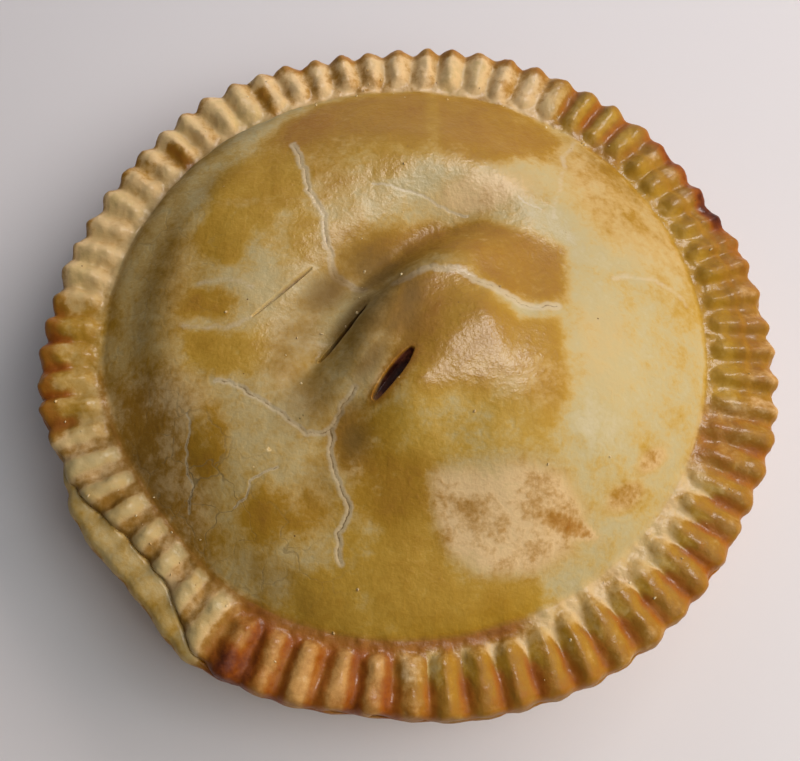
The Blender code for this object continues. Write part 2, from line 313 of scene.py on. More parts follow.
def pressed_crust_tree():
    """Raises the crimps' ridges, scallops the edge, and makes the dough lumpy and grainy."""
    sizes = ("Ridge Depth", "Ridge Sharpness", "Scallop", "Lump Height", "Lump Size")
    lumpy = {"Name": "lump_gain"}
    tree, given, out = new_tree("pressed_crust", (*sizes, "Grain Height", "Grain Size"))
    count = add_node(tree, "GeometryNodeInputNamedAttribute", {"Name": "crimp_count"})
    lean = add_node(tree, "GeometryNodeInputNamedAttribute", {"Name": "crimp_lean"})
    inner = add_node(tree, "GeometryNodeInputNamedAttribute", {"Name": "inner_end"})
    whole = add_node(tree, "ShaderNodeMath", {0: count.outputs[0]}, operation="ROUND")
    beside = {0: count.outputs[0], 1: whole.outputs[0]}
    half = add_node(tree, "ShaderNodeMath", beside, operation="SUBTRACT")
    phase = add_node(tree, "ShaderNodeMath", {0: half.outputs[0], 1: 2.0}, operation="MULTIPLY")
    square = add_node(tree, "ShaderNodeMath", {0: phase.outputs[0], 1: 2.0}, operation="POWER")
    room = add_node(tree, "ShaderNodeMath", {0: 1.0, 1: square.outputs[0]}, operation="SUBTRACT")
    tipped = {0: room.outputs[0], 1: lean.outputs[0], 2: phase.outputs[0]}
    across = add_node(tree, "ShaderNodeMath", tipped, operation="MULTIPLY_ADD")
    sides = {"X": across.outputs[0], "Y": inner.outputs[0]}
    corner = add_node(tree, "ShaderNodeCombineXYZ", sides)
    away = add_node(tree, "ShaderNodeVectorMath", {0: corner.outputs[0]}, operation="LENGTH")
    short = {0: away.outputs["Value"], 1: 1.0}
    near = add_node(tree, "ShaderNodeMath", short, operation="MINIMUM")
    turns = add_node(tree, "ShaderNodeMath", {0: near.outputs[0], 1: math.pi}, operation="MULTIPLY")
    wave = add_node(tree, "ShaderNodeMath", {0: turns.outputs[0]}, operation="COSINE")
    raised = {0: wave.outputs[0], 1: 0.5, 2: 0.5}
    above = add_node(tree, "ShaderNodeMath", raised, operation="MULTIPLY_ADD")
    powered = {0: above.outputs[0], 1: given.outputs["Ridge Sharpness"]}
    ridge = add_node(tree, "ShaderNodeMath", powered, operation="POWER")
    kept = {"Geometry": given.outputs["Geometry"], "Name": "crest", "Value": ridge.outputs[0]}
    marked = add_node(tree, "GeometryNodeStoreNamedAttribute", kept, domain="POINT")

    gain = add_node(tree, "GeometryNodeInputNamedAttribute", {"Name": "ridge_gain"})
    tall = {0: given.outputs["Ridge Depth"], 1: gain.outputs[0]}
    height = add_node(tree, "ShaderNodeMath", tall, operation="MULTIPLY")
    raised = {0: height.outputs[0], 1: ridge.outputs[0]}
    rise = add_node(tree, "ShaderNodeMath", raised, operation="MULTIPLY")
    upward = add_node(tree, "ShaderNodeCombineXYZ", {"Z": rise.outputs[0]})

    edge = add_node(tree, "GeometryNodeInputNamedAttribute", {"Name": "edge_gain"})
    beside = {0: ridge.outputs[0], 1: SCALLOP_MIDDLE}
    centred = add_node(tree, "ShaderNodeMath", beside, operation="SUBTRACT")
    wide = {0: given.outputs["Scallop"], 1: edge.outputs[0]}
    reach = add_node(tree, "ShaderNodeMath", wide, operation="MULTIPLY")
    swung = {0: reach.outputs[0], 1: centred.outputs[0]}
    swing = add_node(tree, "ShaderNodeMath", swung, operation="MULTIPLY")
    place = add_node(tree, "GeometryNodeInputPosition")
    flat = {0: place.outputs[0], 1: (1.0, 1.0, 0.0)}
    level = add_node(tree, "ShaderNodeVectorMath", flat, operation="MULTIPLY")
    away = add_node(tree, "ShaderNodeVectorMath", {0: level.outputs[0]}, operation="NORMALIZE")
    scaled = {0: away.outputs[0], "Scale": swing.outputs[0]}
    outward = add_node(tree, "ShaderNodeVectorMath", scaled, operation="SCALE")
    both = {0: upward.outputs[0], 1: outward.outputs[0]}
    offset = add_node(tree, "ShaderNodeVectorMath", both, operation="ADD")
    moved = {"Geometry": marked.outputs["Geometry"], "Offset": offset.outputs[0]}
    shaped = add_node(tree, "GeometryNodeSetPosition", moved).outputs["Geometry"]

    for part in ("Lump", "Grain"):
        spacing = {0: 1.0, 1: given.outputs[f"{part} Size"]}
        scale = add_node(tree, "ShaderNodeMath", spacing, operation="DIVIDE")
        spread = {"Scale": scale.outputs[0], "Detail": 2.0}
        noise = add_node(tree, "ShaderNodeTexNoise", spread)
        centred = add_node(tree, "ShaderNodeMath", {0: noise.outputs[0], 1: 0.5}, operation="SUBTRACT")
        local = add_node(tree, "GeometryNodeInputNamedAttribute", lumpy)
        scaled = {0: centred.outputs[0], 1: local.outputs[0]}
        middle = add_node(tree, "ShaderNodeMath", scaled, operation="MULTIPLY")
        amount = {0: middle.outputs[0], 1: given.outputs[f"{part} Height"]}
        bump = add_node(tree, "ShaderNodeMath", amount, operation="MULTIPLY")
        normal = add_node(tree, "GeometryNodeInputNormal")
        along = {0: normal.outputs[0], "Scale": bump.outputs[0]}
        shift = add_node(tree, "ShaderNodeVectorMath", along, operation="SCALE")
        moved = {"Geometry": shaped, "Offset": shift.outputs[0]}
        shaped = add_node(tree, "GeometryNodeSetPosition", moved).outputs["Geometry"]

    real = add_node(tree, "GeometryNodeRealizeInstances", {0: shaped})
    coated = {"Geometry": real.outputs[0], "Material": given.outputs["Material"]}
    finished = add_node(tree, "GeometryNodeSetMaterial", coated)
    tree.links.new(finished.outputs[0], out.inputs[0])
    return tree


PRESSED_CRUST = pressed_crust_tree()


def set_fields(mesh, fields):
    """Keeps each named field as a value for each point of the mesh."""
    for name, values in fields.items():
        layer = mesh.attributes.new(name, "FLOAT", "POINT")
        layer.data.foreach_set("value", np.asarray(values, np.float32))


def points_of(mesh):
    """The mesh's points as rows of x, y and z."""
    points = np.empty(len(mesh.vertices) * 3, np.float32)
    mesh.vertices.foreach_get("co", points)
    return points.reshape(-1, 3).astype(float)


def linear(code):
    """An sRGB colour code as the linear colour that a shader takes."""
    parts = [int(code[i:i + 2], 16) / 255.0 for i in (1, 3, 5)]
    curved = [p / 12.92 if p <= 0.04045 else ((p + 0.055) / 1.055) ** 2.4 for p in parts]
    return (*curved, 1.0)


# Baked shortcrust, from pale dough at 0 to burnt at 1. Bare it is dull and floury. Where egg wash
# dried on it, it has a deeper colour and a soft satin shine.
BARE_TONES = (
    (0.0, "#c4b690"),
    (0.14, "#bba876"),
    (0.3, "#c5a86e"),
    (0.43, "#debc88"),
    (0.56, "#c39250"),
    (0.7, "#a56c30"),
    (0.85, "#7c4518"),
    (1.0, "#3c140c"),
)
GLAZED_TONES = (
    (0.0, "#c8ae66"),
    (0.2, "#be9636"),
    (0.4, "#a87c1e"),
    (0.55, "#9c6c1e"),
    (0.68, "#9e6016"),
    (0.8, "#904a08"),
    (0.92, "#62290a"),
    (1.0, "#34100a"),
)

# Over these lie torn pale dough, the dark lines of cracks and of crazing, an olive brown that is
# painted shade in hollows and on shaded slopes and steam-softened crust by the cuts, the filling
# seen in an open cut, and small dark pricks.
TORN_PALE = "#ccba98"
CRACK_BROWN = "#7a623c"
SHADE_AND_DAMP_OLIVE = "#735625"
CRAZING_BROWN = "#8f784c"
FILLING_BROWNS = ("#401a10", "#7c4430")
PRICK_BROWN = "#6a4a26"


def mottle(tree, size, detail=2.0, roughness=0.5):
    """Uneven spots about the given size across, from below 0 to above it."""
    place = add_node(tree, "ShaderNodeTexCoord").outputs["Object"]
    fineness = {"Vector": place, "Scale": 0.5 / size, "Detail": detail, "Roughness": roughness}
    noise = add_node(tree, "ShaderNodeTexNoise", fineness)
    centred = {0: noise.outputs[0], 1: 0.5}
    return add_node(tree, "ShaderNodeMath", centred, operation="SUBTRACT").outputs[0]


def blended(tree, start, *parts):
    """Adds several values to a start, each times its weight."""
    for value, weight in parts:
        added = {0: value, 1: weight, 2: start}
        start = add_node(tree, "ShaderNodeMath", added, operation="MULTIPLY_ADD").outputs[0]
    return start


def mottled_field(tree, name, *parts):
    """One of the piece's own fields, made uneven by several mottles."""
    field = add_node(tree, "ShaderNodeAttribute", attribute_name=name).outputs["Fac"]
    return blended(tree, field, *parts)


def painted(tree, below, above, amount, none, full, strength=1.0):
    """Lays one colour over another: not at all where an amount is none, wholly where it is full."""
    limits = {"Value": amount, "From Min": none, "From Max": full, "To Max": strength}
    share = add_node(tree, "ShaderNodeMapRange", limits, interpolation_type="SMOOTHSTEP").outputs[0]
    below, above = [linear(coat) if isinstance(coat, str) else coat for coat in (below, above)]
    coats = {0: share, 6: below, 7: above}
    return add_node(tree, "ShaderNodeMix", coats, data_type="RGBA").outputs[2]


def browned(tree, bake, glaze):
    """The crust's colour by how far it is baked, and how far it is glazed from 0 to 1."""
    limits = {"Value": glaze, "From Min": 0.12, "From Max": 0.85}
    glazed = add_node(tree, "ShaderNodeMapRange", limits, interpolation_type="SMOOTHSTEP").outputs[0]
    coats = {0: glazed}
    for socket, tones in ((6, BARE_TONES), (7, GLAZED_TONES)):
        ramp = add_node(tree, "ShaderNodeValToRGB", {0: bake})
        stops = ramp.color_ramp.elements
        stops[0].color = linear(tones[0][1])
        stops[1].color = linear(tones[-1][1])
        for place, code in tones[1:-1]:
            stops.new(place).color = linear(code)
        coats[socket] = ramp.outputs["Color"]
    return add_node(tree, "ShaderNodeMix", coats, data_type="RGBA").outputs[2], glazed


def crazing(tree, broad, patchy):
    """Where the dry crust is crazed: the bent edges of cells about 11 mm across."""
    place = add_node(tree, "ShaderNodeTexCoord").outputs["Object"]
    nudge = {"Vector": place, "Scale": 0.5 / (3.0 * MM), "Detail": 2.0}
    drift = add_node(tree, "ShaderNodeTexNoise", nudge).outputs["Color"]
    pushed = {0: drift, 1: (7.0 * MM,) * 3, 2: place}
    bent = add_node(tree, "ShaderNodeVectorMath", pushed, operation="MULTIPLY_ADD").outputs[0]
    cells = {"Vector": bent, "Scale": 1.0 / (11.0 * MM)}
    cells = add_node(tree, "ShaderNodeTexVoronoi", cells, feature="DISTANCE_TO_EDGE")
    away = blended(tree, cells.outputs["Distance"], (patchy, 0.10), (broad, 0.06))
    dry = add_node(tree, "ShaderNodeAttribute", attribute_name="dry").outputs["Fac"]
    limits = {"Value": away, "From Min": 0.03, "From Max": 0.0, "To Max": dry}
    return add_node(tree, "ShaderNodeMapRange", limits, interpolation_type="SMOOTHSTEP").outputs[0]


def pricks(tree):
    """A few small dark specks, at most one in each cell about 7 mm across."""
    place = add_node(tree, "ShaderNodeTexCoord").outputs["Object"]
    cells = add_node(tree, "ShaderNodeTexVoronoi", {"Vector": place, "Scale": 1.0 / (7.0 * MM)})
    rare = add_node(tree, "ShaderNodeSeparateColor", {0: cells.outputs["Color"]}).outputs[0]
    limits = {"Value": cells.outputs["Distance"], "From Min": 0.05, "From Max": 0.03, "To Max": rare}
    return add_node(tree, "ShaderNodeMapRange", limits, interpolation_type="SMOOTHSTEP").outputs[0]


def baked_pastry(name):
    """Baked shortcrust, coloured by how far each part is baked, glazed, cracked and opened."""
    material = bpy.data.materials.new(name)
    material.use_nodes = True
    tree = material.node_tree
    wide = mottle(tree, 24.0 * MM, 3.0)
    broad = mottle(tree, 8.0 * MM, 6.0, 0.65)
    patchy = mottle(tree, 2.2 * MM, 4.0, 0.62)
    fine = mottle(tree, 0.7 * MM, 2.0, 0.6)
    bake = mottled_field(tree, "bake", (wide, 0.2), (broad, 0.38), (patchy, 0.17), (fine, 0.14))
    glaze = mottled_field(tree, "glaze", (wide, 0.6), (broad, 1.6), (patchy, 0.75), (fine, 0.5))
    tone, glazed = browned(tree, bake, glaze)
    pale = mottled_field(tree, "pale", (patchy, 0.8), (fine, 0.5))
    tone = painted(tree, tone, TORN_PALE, pale, 0.25, 0.8, 0.6)
    line = mottled_field(tree, "line", (patchy, 1.6), (fine, 0.9))
    tone = painted(tree, tone, CRACK_BROWN, line, 0.35, 1.0)
    # Olive brown painted shade, and steam-softened crust by the cuts; it also dulls the coat.
    damp_and_shade = mottled_field(tree, "damp_and_shade", (broad, 0.5), (patchy, 0.4))
    tone = painted(tree, tone, SHADE_AND_DAMP_OLIVE, damp_and_shade, 0.0, 1.15)
    crazed = crazing(tree, broad, patchy)
    crazed_coats = {0: crazed, 6: tone, 7: linear(CRAZING_BROWN)}
    tone = add_node(tree, "ShaderNodeMix", crazed_coats, data_type="RGBA").outputs[2]
    filling = painted(tree, *FILLING_BROWNS, patchy, -0.1, 0.12)
    tone = painted(tree, tone, filling, mottled_field(tree, "open"), 0.05, 0.6)
    tone = painted(tree, tone, PRICK_BROWN, pricks(tree), 0.6, 0.9)

    shader = tree.nodes["Principled BSDF"]
    tree.links.new(tone, shader.inputs["Base Color"])
    shader.inputs["Roughness"].default_value = 0.62
    shader.inputs["IOR"].default_value = 1.45
    shader.inputs["Specular IOR Level"].default_value = 0.15
    shine = blended(tree, 0.24, (glazed, 0.2))
    dulled = {"Value": damp_and_shade, "From Min": 0.7, "From Max": -0.1, "To Max": shine}
    coat = add_node(tree, "ShaderNodeMapRange", dulled, interpolation_type="SMOOTHSTEP").outputs[0]
    tree.links.new(coat, shader.inputs["Coat Weight"])
    shader.inputs["Coat Roughness"].default_value = 0.31
    shader.inputs["Coat IOR"].default_value = 1.5
    wrinkles = blended(tree, 0.0, (fine, 1.0), (patchy, 0.8), (crazed, -0.5))
    raised = {"Strength": 0.6, "Distance": 0.28 * MM, "Height": wrinkles}
    bump = add_node(tree, "ShaderNodeBump", raised)
    tree.links.new(bump.outputs[0], shader.inputs["Normal"])
    tree.links.new(bump.outputs[0], shader.inputs["Coat Normal"])
    return material


PASTRY = baked_pastry("baked_shortcrust")

# How the rim baked, painted in this order, with a paler flank at the near right that is painted
# light: the first and last bearing, ends, the shares of the way out where it starts and ends, the
# part of each ridge, how far baked and how far glazed. Each fades in and out over the same share
# of the way, over a rim that is half baked and glazed.
UNPAINTED_RIM = (0.4, 0.4)
PAINTED_ENDS = 0.2
RIM_BAKING = (
    (-20, 48, 14, 0.0, 1.2, "all", 0.50, 0.95),
    (-20, 48, 14, -0.2, 0.45, "all", 0.34, 0.95),
    (-14, 44, 10, 0.62, 1.2, "crown", 0.54, 0.45),
    (10, 40, 12, 0.3, 0.55, "crown", 0.46, 0.9),
    (14, 74, 12, 0.80, 1.2, "all", 0.64, 0.9),
    (26, 48, 8, 0.84, 1.2, "all", 0.86, 0.9),
    (22, 29, 4, 0.76, 1.2, "all", 0.93, 0.9),
    (44, 66, 10, 0.0, 1.2, "all", 0.50, 0.9),
    (44, 66, 10, 0.2, 0.85, "crown", 0.28, 0.9),
    (44, 66, 10, 0.3, 1.2, "furrow", 0.70, 1.0),
    (50, 60, 6, -0.1, 0.55, "crown", 0.32, 0.6),
    (62, 122, 10, -0.2, 1.2, "all", 0.42, 0.40),
    (62, 122, 10, -0.2, 0.8, "crown", 0.40, 0.15),
    (62, 122, 10, 0.80, 1.2, "all", 0.58, 0.70),
    (118, 178, 10, -0.2, 1.2, "all", 0.36, 0.32),
    (118, 178, 10, -0.2, 0.9, "crown", 0.36, 0.15),
    (118, 178, 10, 0.88, 1.2, "all", 0.52, 0.5),
    (117, 119, 3, -0.1, 0.7, "all", 0.60, 1.0),
    (137, 139, 3, -0.1, 0.7, "all", 0.62, 1.0),
    (172, 200, 10, -0.2, 1.2, "all", 0.32, 0.55),
    (172, 200, 10, 0.72, 1.2, "all", 0.62, 0.8),
    (176, 204, 8, 0.5, 1.0, "furrow", 0.74, 0.9),
    (198, 243, 8, -0.2, 1.2, "all", 0.48, 0.55),
    (198, 243, 8, -0.2, 1.2, "crown", 0.26, 0.15),
    (186, 246, 8, -0.3, 0.1, "all", 0.60, 0.8),
    (240, 272, 8, -0.2, 1.2, "all", 0.82, 1.0),
    (240, 290, 8, 0.15, 1.2, "crown", 0.64, 0.40),
    (240, 247, 4, 0.6, 1.2, "all", 0.88, 0.9),
    (246, 292, 8, 0.0, 1.0, "furrow", 0.82, 1.0),
    (292, 345, 8, 0.3, 1.0, "furrow", 0.76, 1.0),
    (270, 345, 10, -0.2, 1.2, "all", 0.56, 0.85),
    # Painted light: the flanks that face away from the light are painted paler.
    (270, 345, 10, 0.1, 0.6, "clockwise", 0.24, 0.55),
    (270, 340, 10, 0.2, 0.8, "anticlockwise", 0.46, 0.8),
    (270, 345, 10, 0.5, 1.0, "furrow", 0.72, 1.0),
    (283, 340, 12, -0.3, 0.34, "all", 0.34, 0.45),
    (283, 340, 12, -0.3, 0.02, "all", 0.30, 0.15),
    (280, 340, 12, -0.3, 0.5, "wedge", 0.34, 0.10),
    (243, 290, 8, -0.3, 0.16, "all", 0.72, 1.0),
    (335, 348, 5, 0.0, 0.6, "all", 0.60, 0.8),
)


def rim_baking(bearing, share, phase):
    """How far the rim is baked and glazed, at a share of the way out and a phase of its ridge."""
    height = 0.5 + 0.5 * np.cos(np.pi * phase)
    parts = {
        "all": 1.0,
        "crown": smoothstep(1.5 * height - 0.25),
        "furrow": 1.0 - smoothstep(1.8 * height),
        "clockwise": smoothstep(0.2 - 1.3 * phase),
        "anticlockwise": smoothstep(0.6 + 1.3 * phase) * smoothstep(2.0 * height),
        "wedge": smoothstep(0.5 + (np.abs(phase) - 0.3 - 1.4 * share) / 0.3),
    }
    bake, glaze = [np.full(np.shape(bearing), amount) for amount in UNPAINTED_RIM]
    for first, last, ends, start, end, part, baked, glazed in RIM_BAKING:
        begun = smoothstep(0.5 + (share - start) / PAINTED_ENDS)
        unended = smoothstep(0.5 + (end - share) / PAINTED_ENDS)
        weight = between(bearing, first, last, ends) * begun * unended * parts[part]
        bake = bake + weight * (baked - bake)
        glaze = glaze + weight * (glazed - glaze)
    return bake, glaze


# The case's section runs from its seat, whose points lie this far out and this far below the lid,
# over the shelf that the lid is pressed to, round the edge and back under it, down the wall and
# over the base.
CASE_COLUMNS = CRIMPS * 12
SEAT_POINTS = ((0.0, 0.004), (0.060, 0.004), (0.078, 0.002))
SHELF_START = 0.0840
SHELF_RINGS = 26
SHELF_INSET = 0.0015
EDGE_SIDE = 0.0006
EDGE_ANGLES = (20, 45, 70, 90, 110, 135, 160, 180)
UNDER_SHARES = (0.2, 0.45, 0.7, 0.9, 1.0)
UNDER_END = WALL_TOP_RADIUS + EDGE_ROUND
WALL_RINGS = 16
CORNER_ANGLES = (22.5, 45.0, 67.5, 90.0)

# Where the lid stops short: how far it has to before the shelf is bare, and over what distance,
# how much lower the shelf lies where it is hidden, over what distance it sinks there, and the
# height of the ridges on the bare shelf and round its edge.
LEDGE_SHOWS = (0.0015, 0.0020)
HIDDEN_DROP = 0.0005
HIDDEN_FADE = 0.0010
LEDGE_RIDGES = (0.25, 0.1)

# How far the case is baked and glazed.
LEDGE_BAKING = (0.26, 0.38)
CASE_BAKING = {"seat": (0.56, 0.15), "under": (0.5, 0.1), "wall": (0.56, 0.15), "base": (0.62, 0.15)}


def case_profile():
    """Half of the case's section: (radius, height, kind), from under the lid out and down."""
    seat = RIM_HEIGHT - CREASE_DROP - LID_THICKNESS
    points = [(radius, seat - below, "seat") for radius, below in SEAT_POINTS]
    for share in np.linspace(0.0, 1.0, SHELF_RINGS):
        points.append((SHELF_START + share * (RIM_RADIUS - SHELF_START), RIM_HEIGHT, "shelf"))
    for angle in EDGE_ANGLES:
        points.append((RIM_RADIUS, math.radians(angle), "edge"))
    for share in UNDER_SHARES:
        points.append((RIM_RADIUS + share * (UNDER_END - RIM_RADIUS), UNDER_LEVEL, "under"))
    wall_height = UNDER_LEVEL - EDGE_ROUND - BASE_CORNER
    for share in np.linspace(0.0, 1.0, WALL_RINGS):
        radius = WALL_TOP_RADIUS + share * (BASE_RADIUS - WALL_TOP_RADIUS)
        bulge = WALL_BULGE * math.sin(math.pi * share)
        points.append((radius + bulge, BASE_CORNER + (1.0 - share) * wall_height, "wall"))
    for angle in np.radians(CORNER_ANGLES):
        radius = BASE_RADIUS - BASE_CORNER * (1.0 - math.cos(angle))
        points.append((radius, BASE_CORNER * (1.0 - math.sin(angle)), "base"))
    points.append((BASE_RADIUS / 2.0, 0.0, "base"))
    points.append((0.0, 0.0, "base"))
    return points


def turned_case():
    """The case as rings of points, one ring for each point of its section, and their fields."""
    count = np.arange(CASE_COLUMNS) * CRIMPS / CASE_COLUMNS
    bearing, size, tilt = crimp_at(count)
    angle = np.radians(bearing)
    edge, drop = lid_edge(bearing)
    outer = case_edge(bearing)
    inner = crease(bearing) + SHELF_INSET
    bare = smoothstep((outer - edge - LEDGE_SHOWS[0]) / LEDGE_SHOWS[1])
    shelf_ridges, edge_ridges = [height * size * bare for height in LEDGE_RIDGES]
    scallop = scallop_gain(bearing)
    top = np.maximum(rim_level(0.0) - drop, UNDER_LEVEL + CASE_EDGE_THICKNESS)
    rim_bake, rim_glaze = rim_baking(bearing, 1.0, ridge_phase(count))
    rings = []
    fields = {"ridge_gain": [], "edge_gain": [], "bake": [], "glaze": []}
    for radius, level, kind in case_profile():
        reach = np.full(CASE_COLUMNS, radius)
        height = np.full(CASE_COLUMNS, level)
        gain = np.zeros(CASE_COLUMNS)
        push = np.zeros(CASE_COLUMNS)
        bake, glaze = rim_bake, rim_glaze
        if kind in CASE_BAKING:
            bake, glaze = [np.full(CASE_COLUMNS, amount) for amount in CASE_BAKING[kind]]
        if kind == "shelf":
            share = (radius - SHELF_START) / (RIM_RADIUS - SHELF_START)
            reach = inner + share * (outer - EDGE_SIDE - inner)
            shown = smoothstep(0.5 + (reach - edge) / HIDDEN_FADE)
            rounded = rim_level(outer - EDGE_SIDE - reach) - rim_level(0.0)
            height = top + shown * rounded - (1.0 - shown) * HIDDEN_DROP
            gain = shown * shelf_ridges
            push = scallop * smoothstep((share - 0.5) / 0.5)
            bake = bake + bare * (LEDGE_BAKING[0] - bake)
            glaze = glaze + bare * (LEDGE_BAKING[1] - glaze)
        elif kind == "edge":
            half = (top - UNDER_LEVEL) / 2.0
            height = UNDER_LEVEL + half + half * math.cos(level)
            reach = outer - EDGE_SIDE + EDGE_SIDE * math.sin(level)
            gain = edge_ridges * max(0.0, math.cos(level))
            push = scallop
        elif kind == "under":
            share = (RIM_RADIUS - radius) / (RIM_RADIUS - UNDER_END)
            reach = (outer - EDGE_SIDE) * (1.0 - share) + UNDER_END * share
            push = scallop * (1.0 - share)
        rings.append(np.stack([reach * np.cos(angle), reach * np.sin(angle), height], -1))
        for values, ring_values in zip(fields.values(), (gain, push, bake, glaze)):
            values.append(ring_values)
    everywhere = {
        "crimp_count": count + tilt * 0.5,
        "crimp_lean": crimp_lean(bearing),
        "lump_gain": np.ones(CASE_COLUMNS),
        "inner_end": np.zeros(CASE_COLUMNS),
    }
    for name, values in everywhere.items():
        fields[name] = [values] * len(rings)
    return rings, fields


def lathe_mesh(name, rings):
    """Joins rings of points into one closed mesh, whose first and last rings are single points."""
    columns = len(rings[0])
    points = [rings[0][0], *np.concatenate(rings[1:-1]), rings[-1][0]]
    last = 1 + (len(rings) - 3) * columns
    faces = []
    for column in range(columns):
        after = (column + 1) % columns
        faces.append((0, 1 + column, 1 + after))
        faces.append((last + column, len(points) - 1, last + after))
        for ring in range(len(rings) - 3):
            here = 1 + ring * columns
            below = here + columns
            faces.append((here + column, below + column, below + after, here + after))
    mesh = bpy.data.meshes.new(name)
    mesh.from_pydata([tuple(point) for point in points], [], faces)
    return mesh


rings, ring_fields = turned_case()
case_mesh = lathe_mesh("case_blank", rings)
case_fields = {
    name: np.concatenate([[values[0][0]], *values[1:-1], [values[-1][0]]])
    for name, values in ring_fields.items()
}
set_fields(case_mesh, case_fields)
case_mesh.shade_smooth()
blank = bpy.data.objects.new("case_blank", case_mesh)
bpy.context.scene.collection.objects.link(blank)
case_values = {
    "Ridge Depth": CRIMP_DEPTH,
    "Ridge Sharpness": CRIMP_SHARPNESS,
    "Scallop": CRIMP_SCALLOP,
    "Lump Height": 1.2 * MM,
    "Lump Size": 7.0 * MM,
    "Grain Height": 0.35 * MM,
    "Grain Size": 2.4 * MM,
    "Material": PASTRY,
}
case = finished_by(PRESSED_CRUST, blank, "case", case_values)
for vertex in case.data.vertices:
    vertex.co.z = max(vertex.co.z, 0.0)
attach(case, "root")
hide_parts("pie")

# ======================================================================================
# The lid
# A second sheet of shortcrust laid over the heaped filling, pressed onto the case's edge and
# crimped with the fingers. It rose, cracked and sank round one high hump in the oven, and was
# brushed with beaten egg, which took colour in patches.
# ======================================================================================

# The dome falls with a power of the way out, and is steeper where it slumped to the left. Fuller
# and rounder sides have a bearing, a change and a spread.
DOME_HEIGHT = 0.0150
DOME_POWER = 3.3
DOME_ROUNDNESS = 0.85
FULLER_SIDES = ((165, 0.7, 35), (232, -0.7, 30))
ROUNDER_SIDES = ((138, -0.35, 30), (185, 0.2, 30))

# The smaller forms fade out over this share of the way before the crease.
SHOULDER = 0.3

# The step where the left side slumped: bearing, height, spread, then the share of the way out
# and half the width of the step, whose brow is a little wider than its foot.
LEFT_STEP = (170, 0.0015, 32)
LEFT_STEP_SHARE = 0.84
LEFT_STEP_WIDTH = 0.055
BROW_WIDTH = 0.077

# The high hump falls gently to the right. On its steep side, given by its first and last bearing
# and ends, it falls in an upper step, which has a share of the height, a start and an end, and a
# lower step. These join into one at the near left, past LEG_TURN: start and length of the change,
# how much further out the upper step is there, and the share of the height left outside.
HUMP_PLACE = (0.026, -0.020)
HUMP_HEIGHT = 0.0095
GENTLE_REACH = 0.050
STEEP_SIDE = (96, 204, 44)
UPPER_STEP = (0.38, 0.016, 0.034)
LOWER_STEP = (0.0385, 0.0525)
LEG_TURN = (158, 36, 0.009, 0.40)

# The trough at the foot of the hump: first and last bearing, ends, distance, depth and width.
TROUGH = (98, 174, 30, 0.053, 0.0034, 0.008)

# A low swell towards the far side: radius, height, width, bearing, spread.
FAR_SWELL = (0.054, 0.0034, 0.012, 78, 45)

# Smaller rises and dips: (x, y), (half length, half width), turn, height.
LID_MOUNDS = (
    ((-0.062, 0.024), (0.009, 0.015), 0, -0.0016),
    ((-0.004, 0.016), (0.013, 0.007), 40, -0.0022),
    ((-0.0120, -0.0120), (0.014, 0.004), 54, 0.0008),
    ((-0.0175, -0.0028), (0.015, 0.0024), 52, -0.0022),
    ((-0.0222, 0.0006), (0.012, 0.0022), 52, 0.0006),
    ((0.000, -0.046), (0.010, 0.020), -10, 0.0010),
    ((-0.021, -0.040), (0.006, 0.014), 0, -0.0008),
)

# Three parallel vent cuts: (x, y) of the middle, length, width, depth, turn.
VENT_CUTS = (
    ((-0.0338, 0.0086), 0.0222, 0.0009, 0.0010, 44),
    ((-0.0176, -0.0036), 0.0203, 0.0012, 0.0030, 51),
    ((-0.0043, -0.0179), 0.0172, 0.0034, 0.0045, 54),
)


def along_and_across(x, y, place, turn):
    """How far each point lies along and across a line through a place."""
    cos_turn = math.cos(math.radians(turn))
    sin_turn = math.sin(math.radians(turn))
    along = (x - place[0]) * cos_turn + (y - place[1]) * sin_turn
    across = (y - place[1]) * cos_turn - (x - place[0]) * sin_turn
    return along, across


def mound(x, y, place, half_sizes, turn):
    """An oval rise, 1 at its middle."""
    along, across = along_and_across(x, y, place, turn)
    return bell(along, half_sizes[0]) * bell(across, half_sizes[1])


def hump(x, y):
    """The high hump, less the trough at the foot of its steep side."""
    dx = x - HUMP_PLACE[0]
    dy = y - HUMP_PLACE[1]
    away = np.hypot(dx, dy)
    bearing = np.degrees(np.arctan2(dy, dx)) % 360.0
    first, length, further, left_over = LEG_TURN
    leg = smoothstep((bearing - first) / length)
    share, start, end = UPPER_STEP
    upper = 1.0 - smoothstep((away - start - further * leg) / (end - start))
    lower = 1.0 - smoothstep((away - LOWER_STEP[0]) / (LOWER_STEP[1] - LOWER_STEP[0]))
    stepped = upper * (share + (1.0 - share) * leg) + lower * (1.0 - share) * (1.0 - leg)
    stepped = stepped + left_over * leg * (1.0 - upper)
    gentle = 1.0 - smoothstep(away / GENTLE_REACH)
    steep = between(bearing, *STEEP_SIDE)
    first, last, ends, radius, depth, width = TROUGH
    trough = depth * between(bearing, first, last, ends) * bell(away - radius, width)
    return HUMP_HEIGHT * (gentle + steep * (stepped - gentle)) - trough


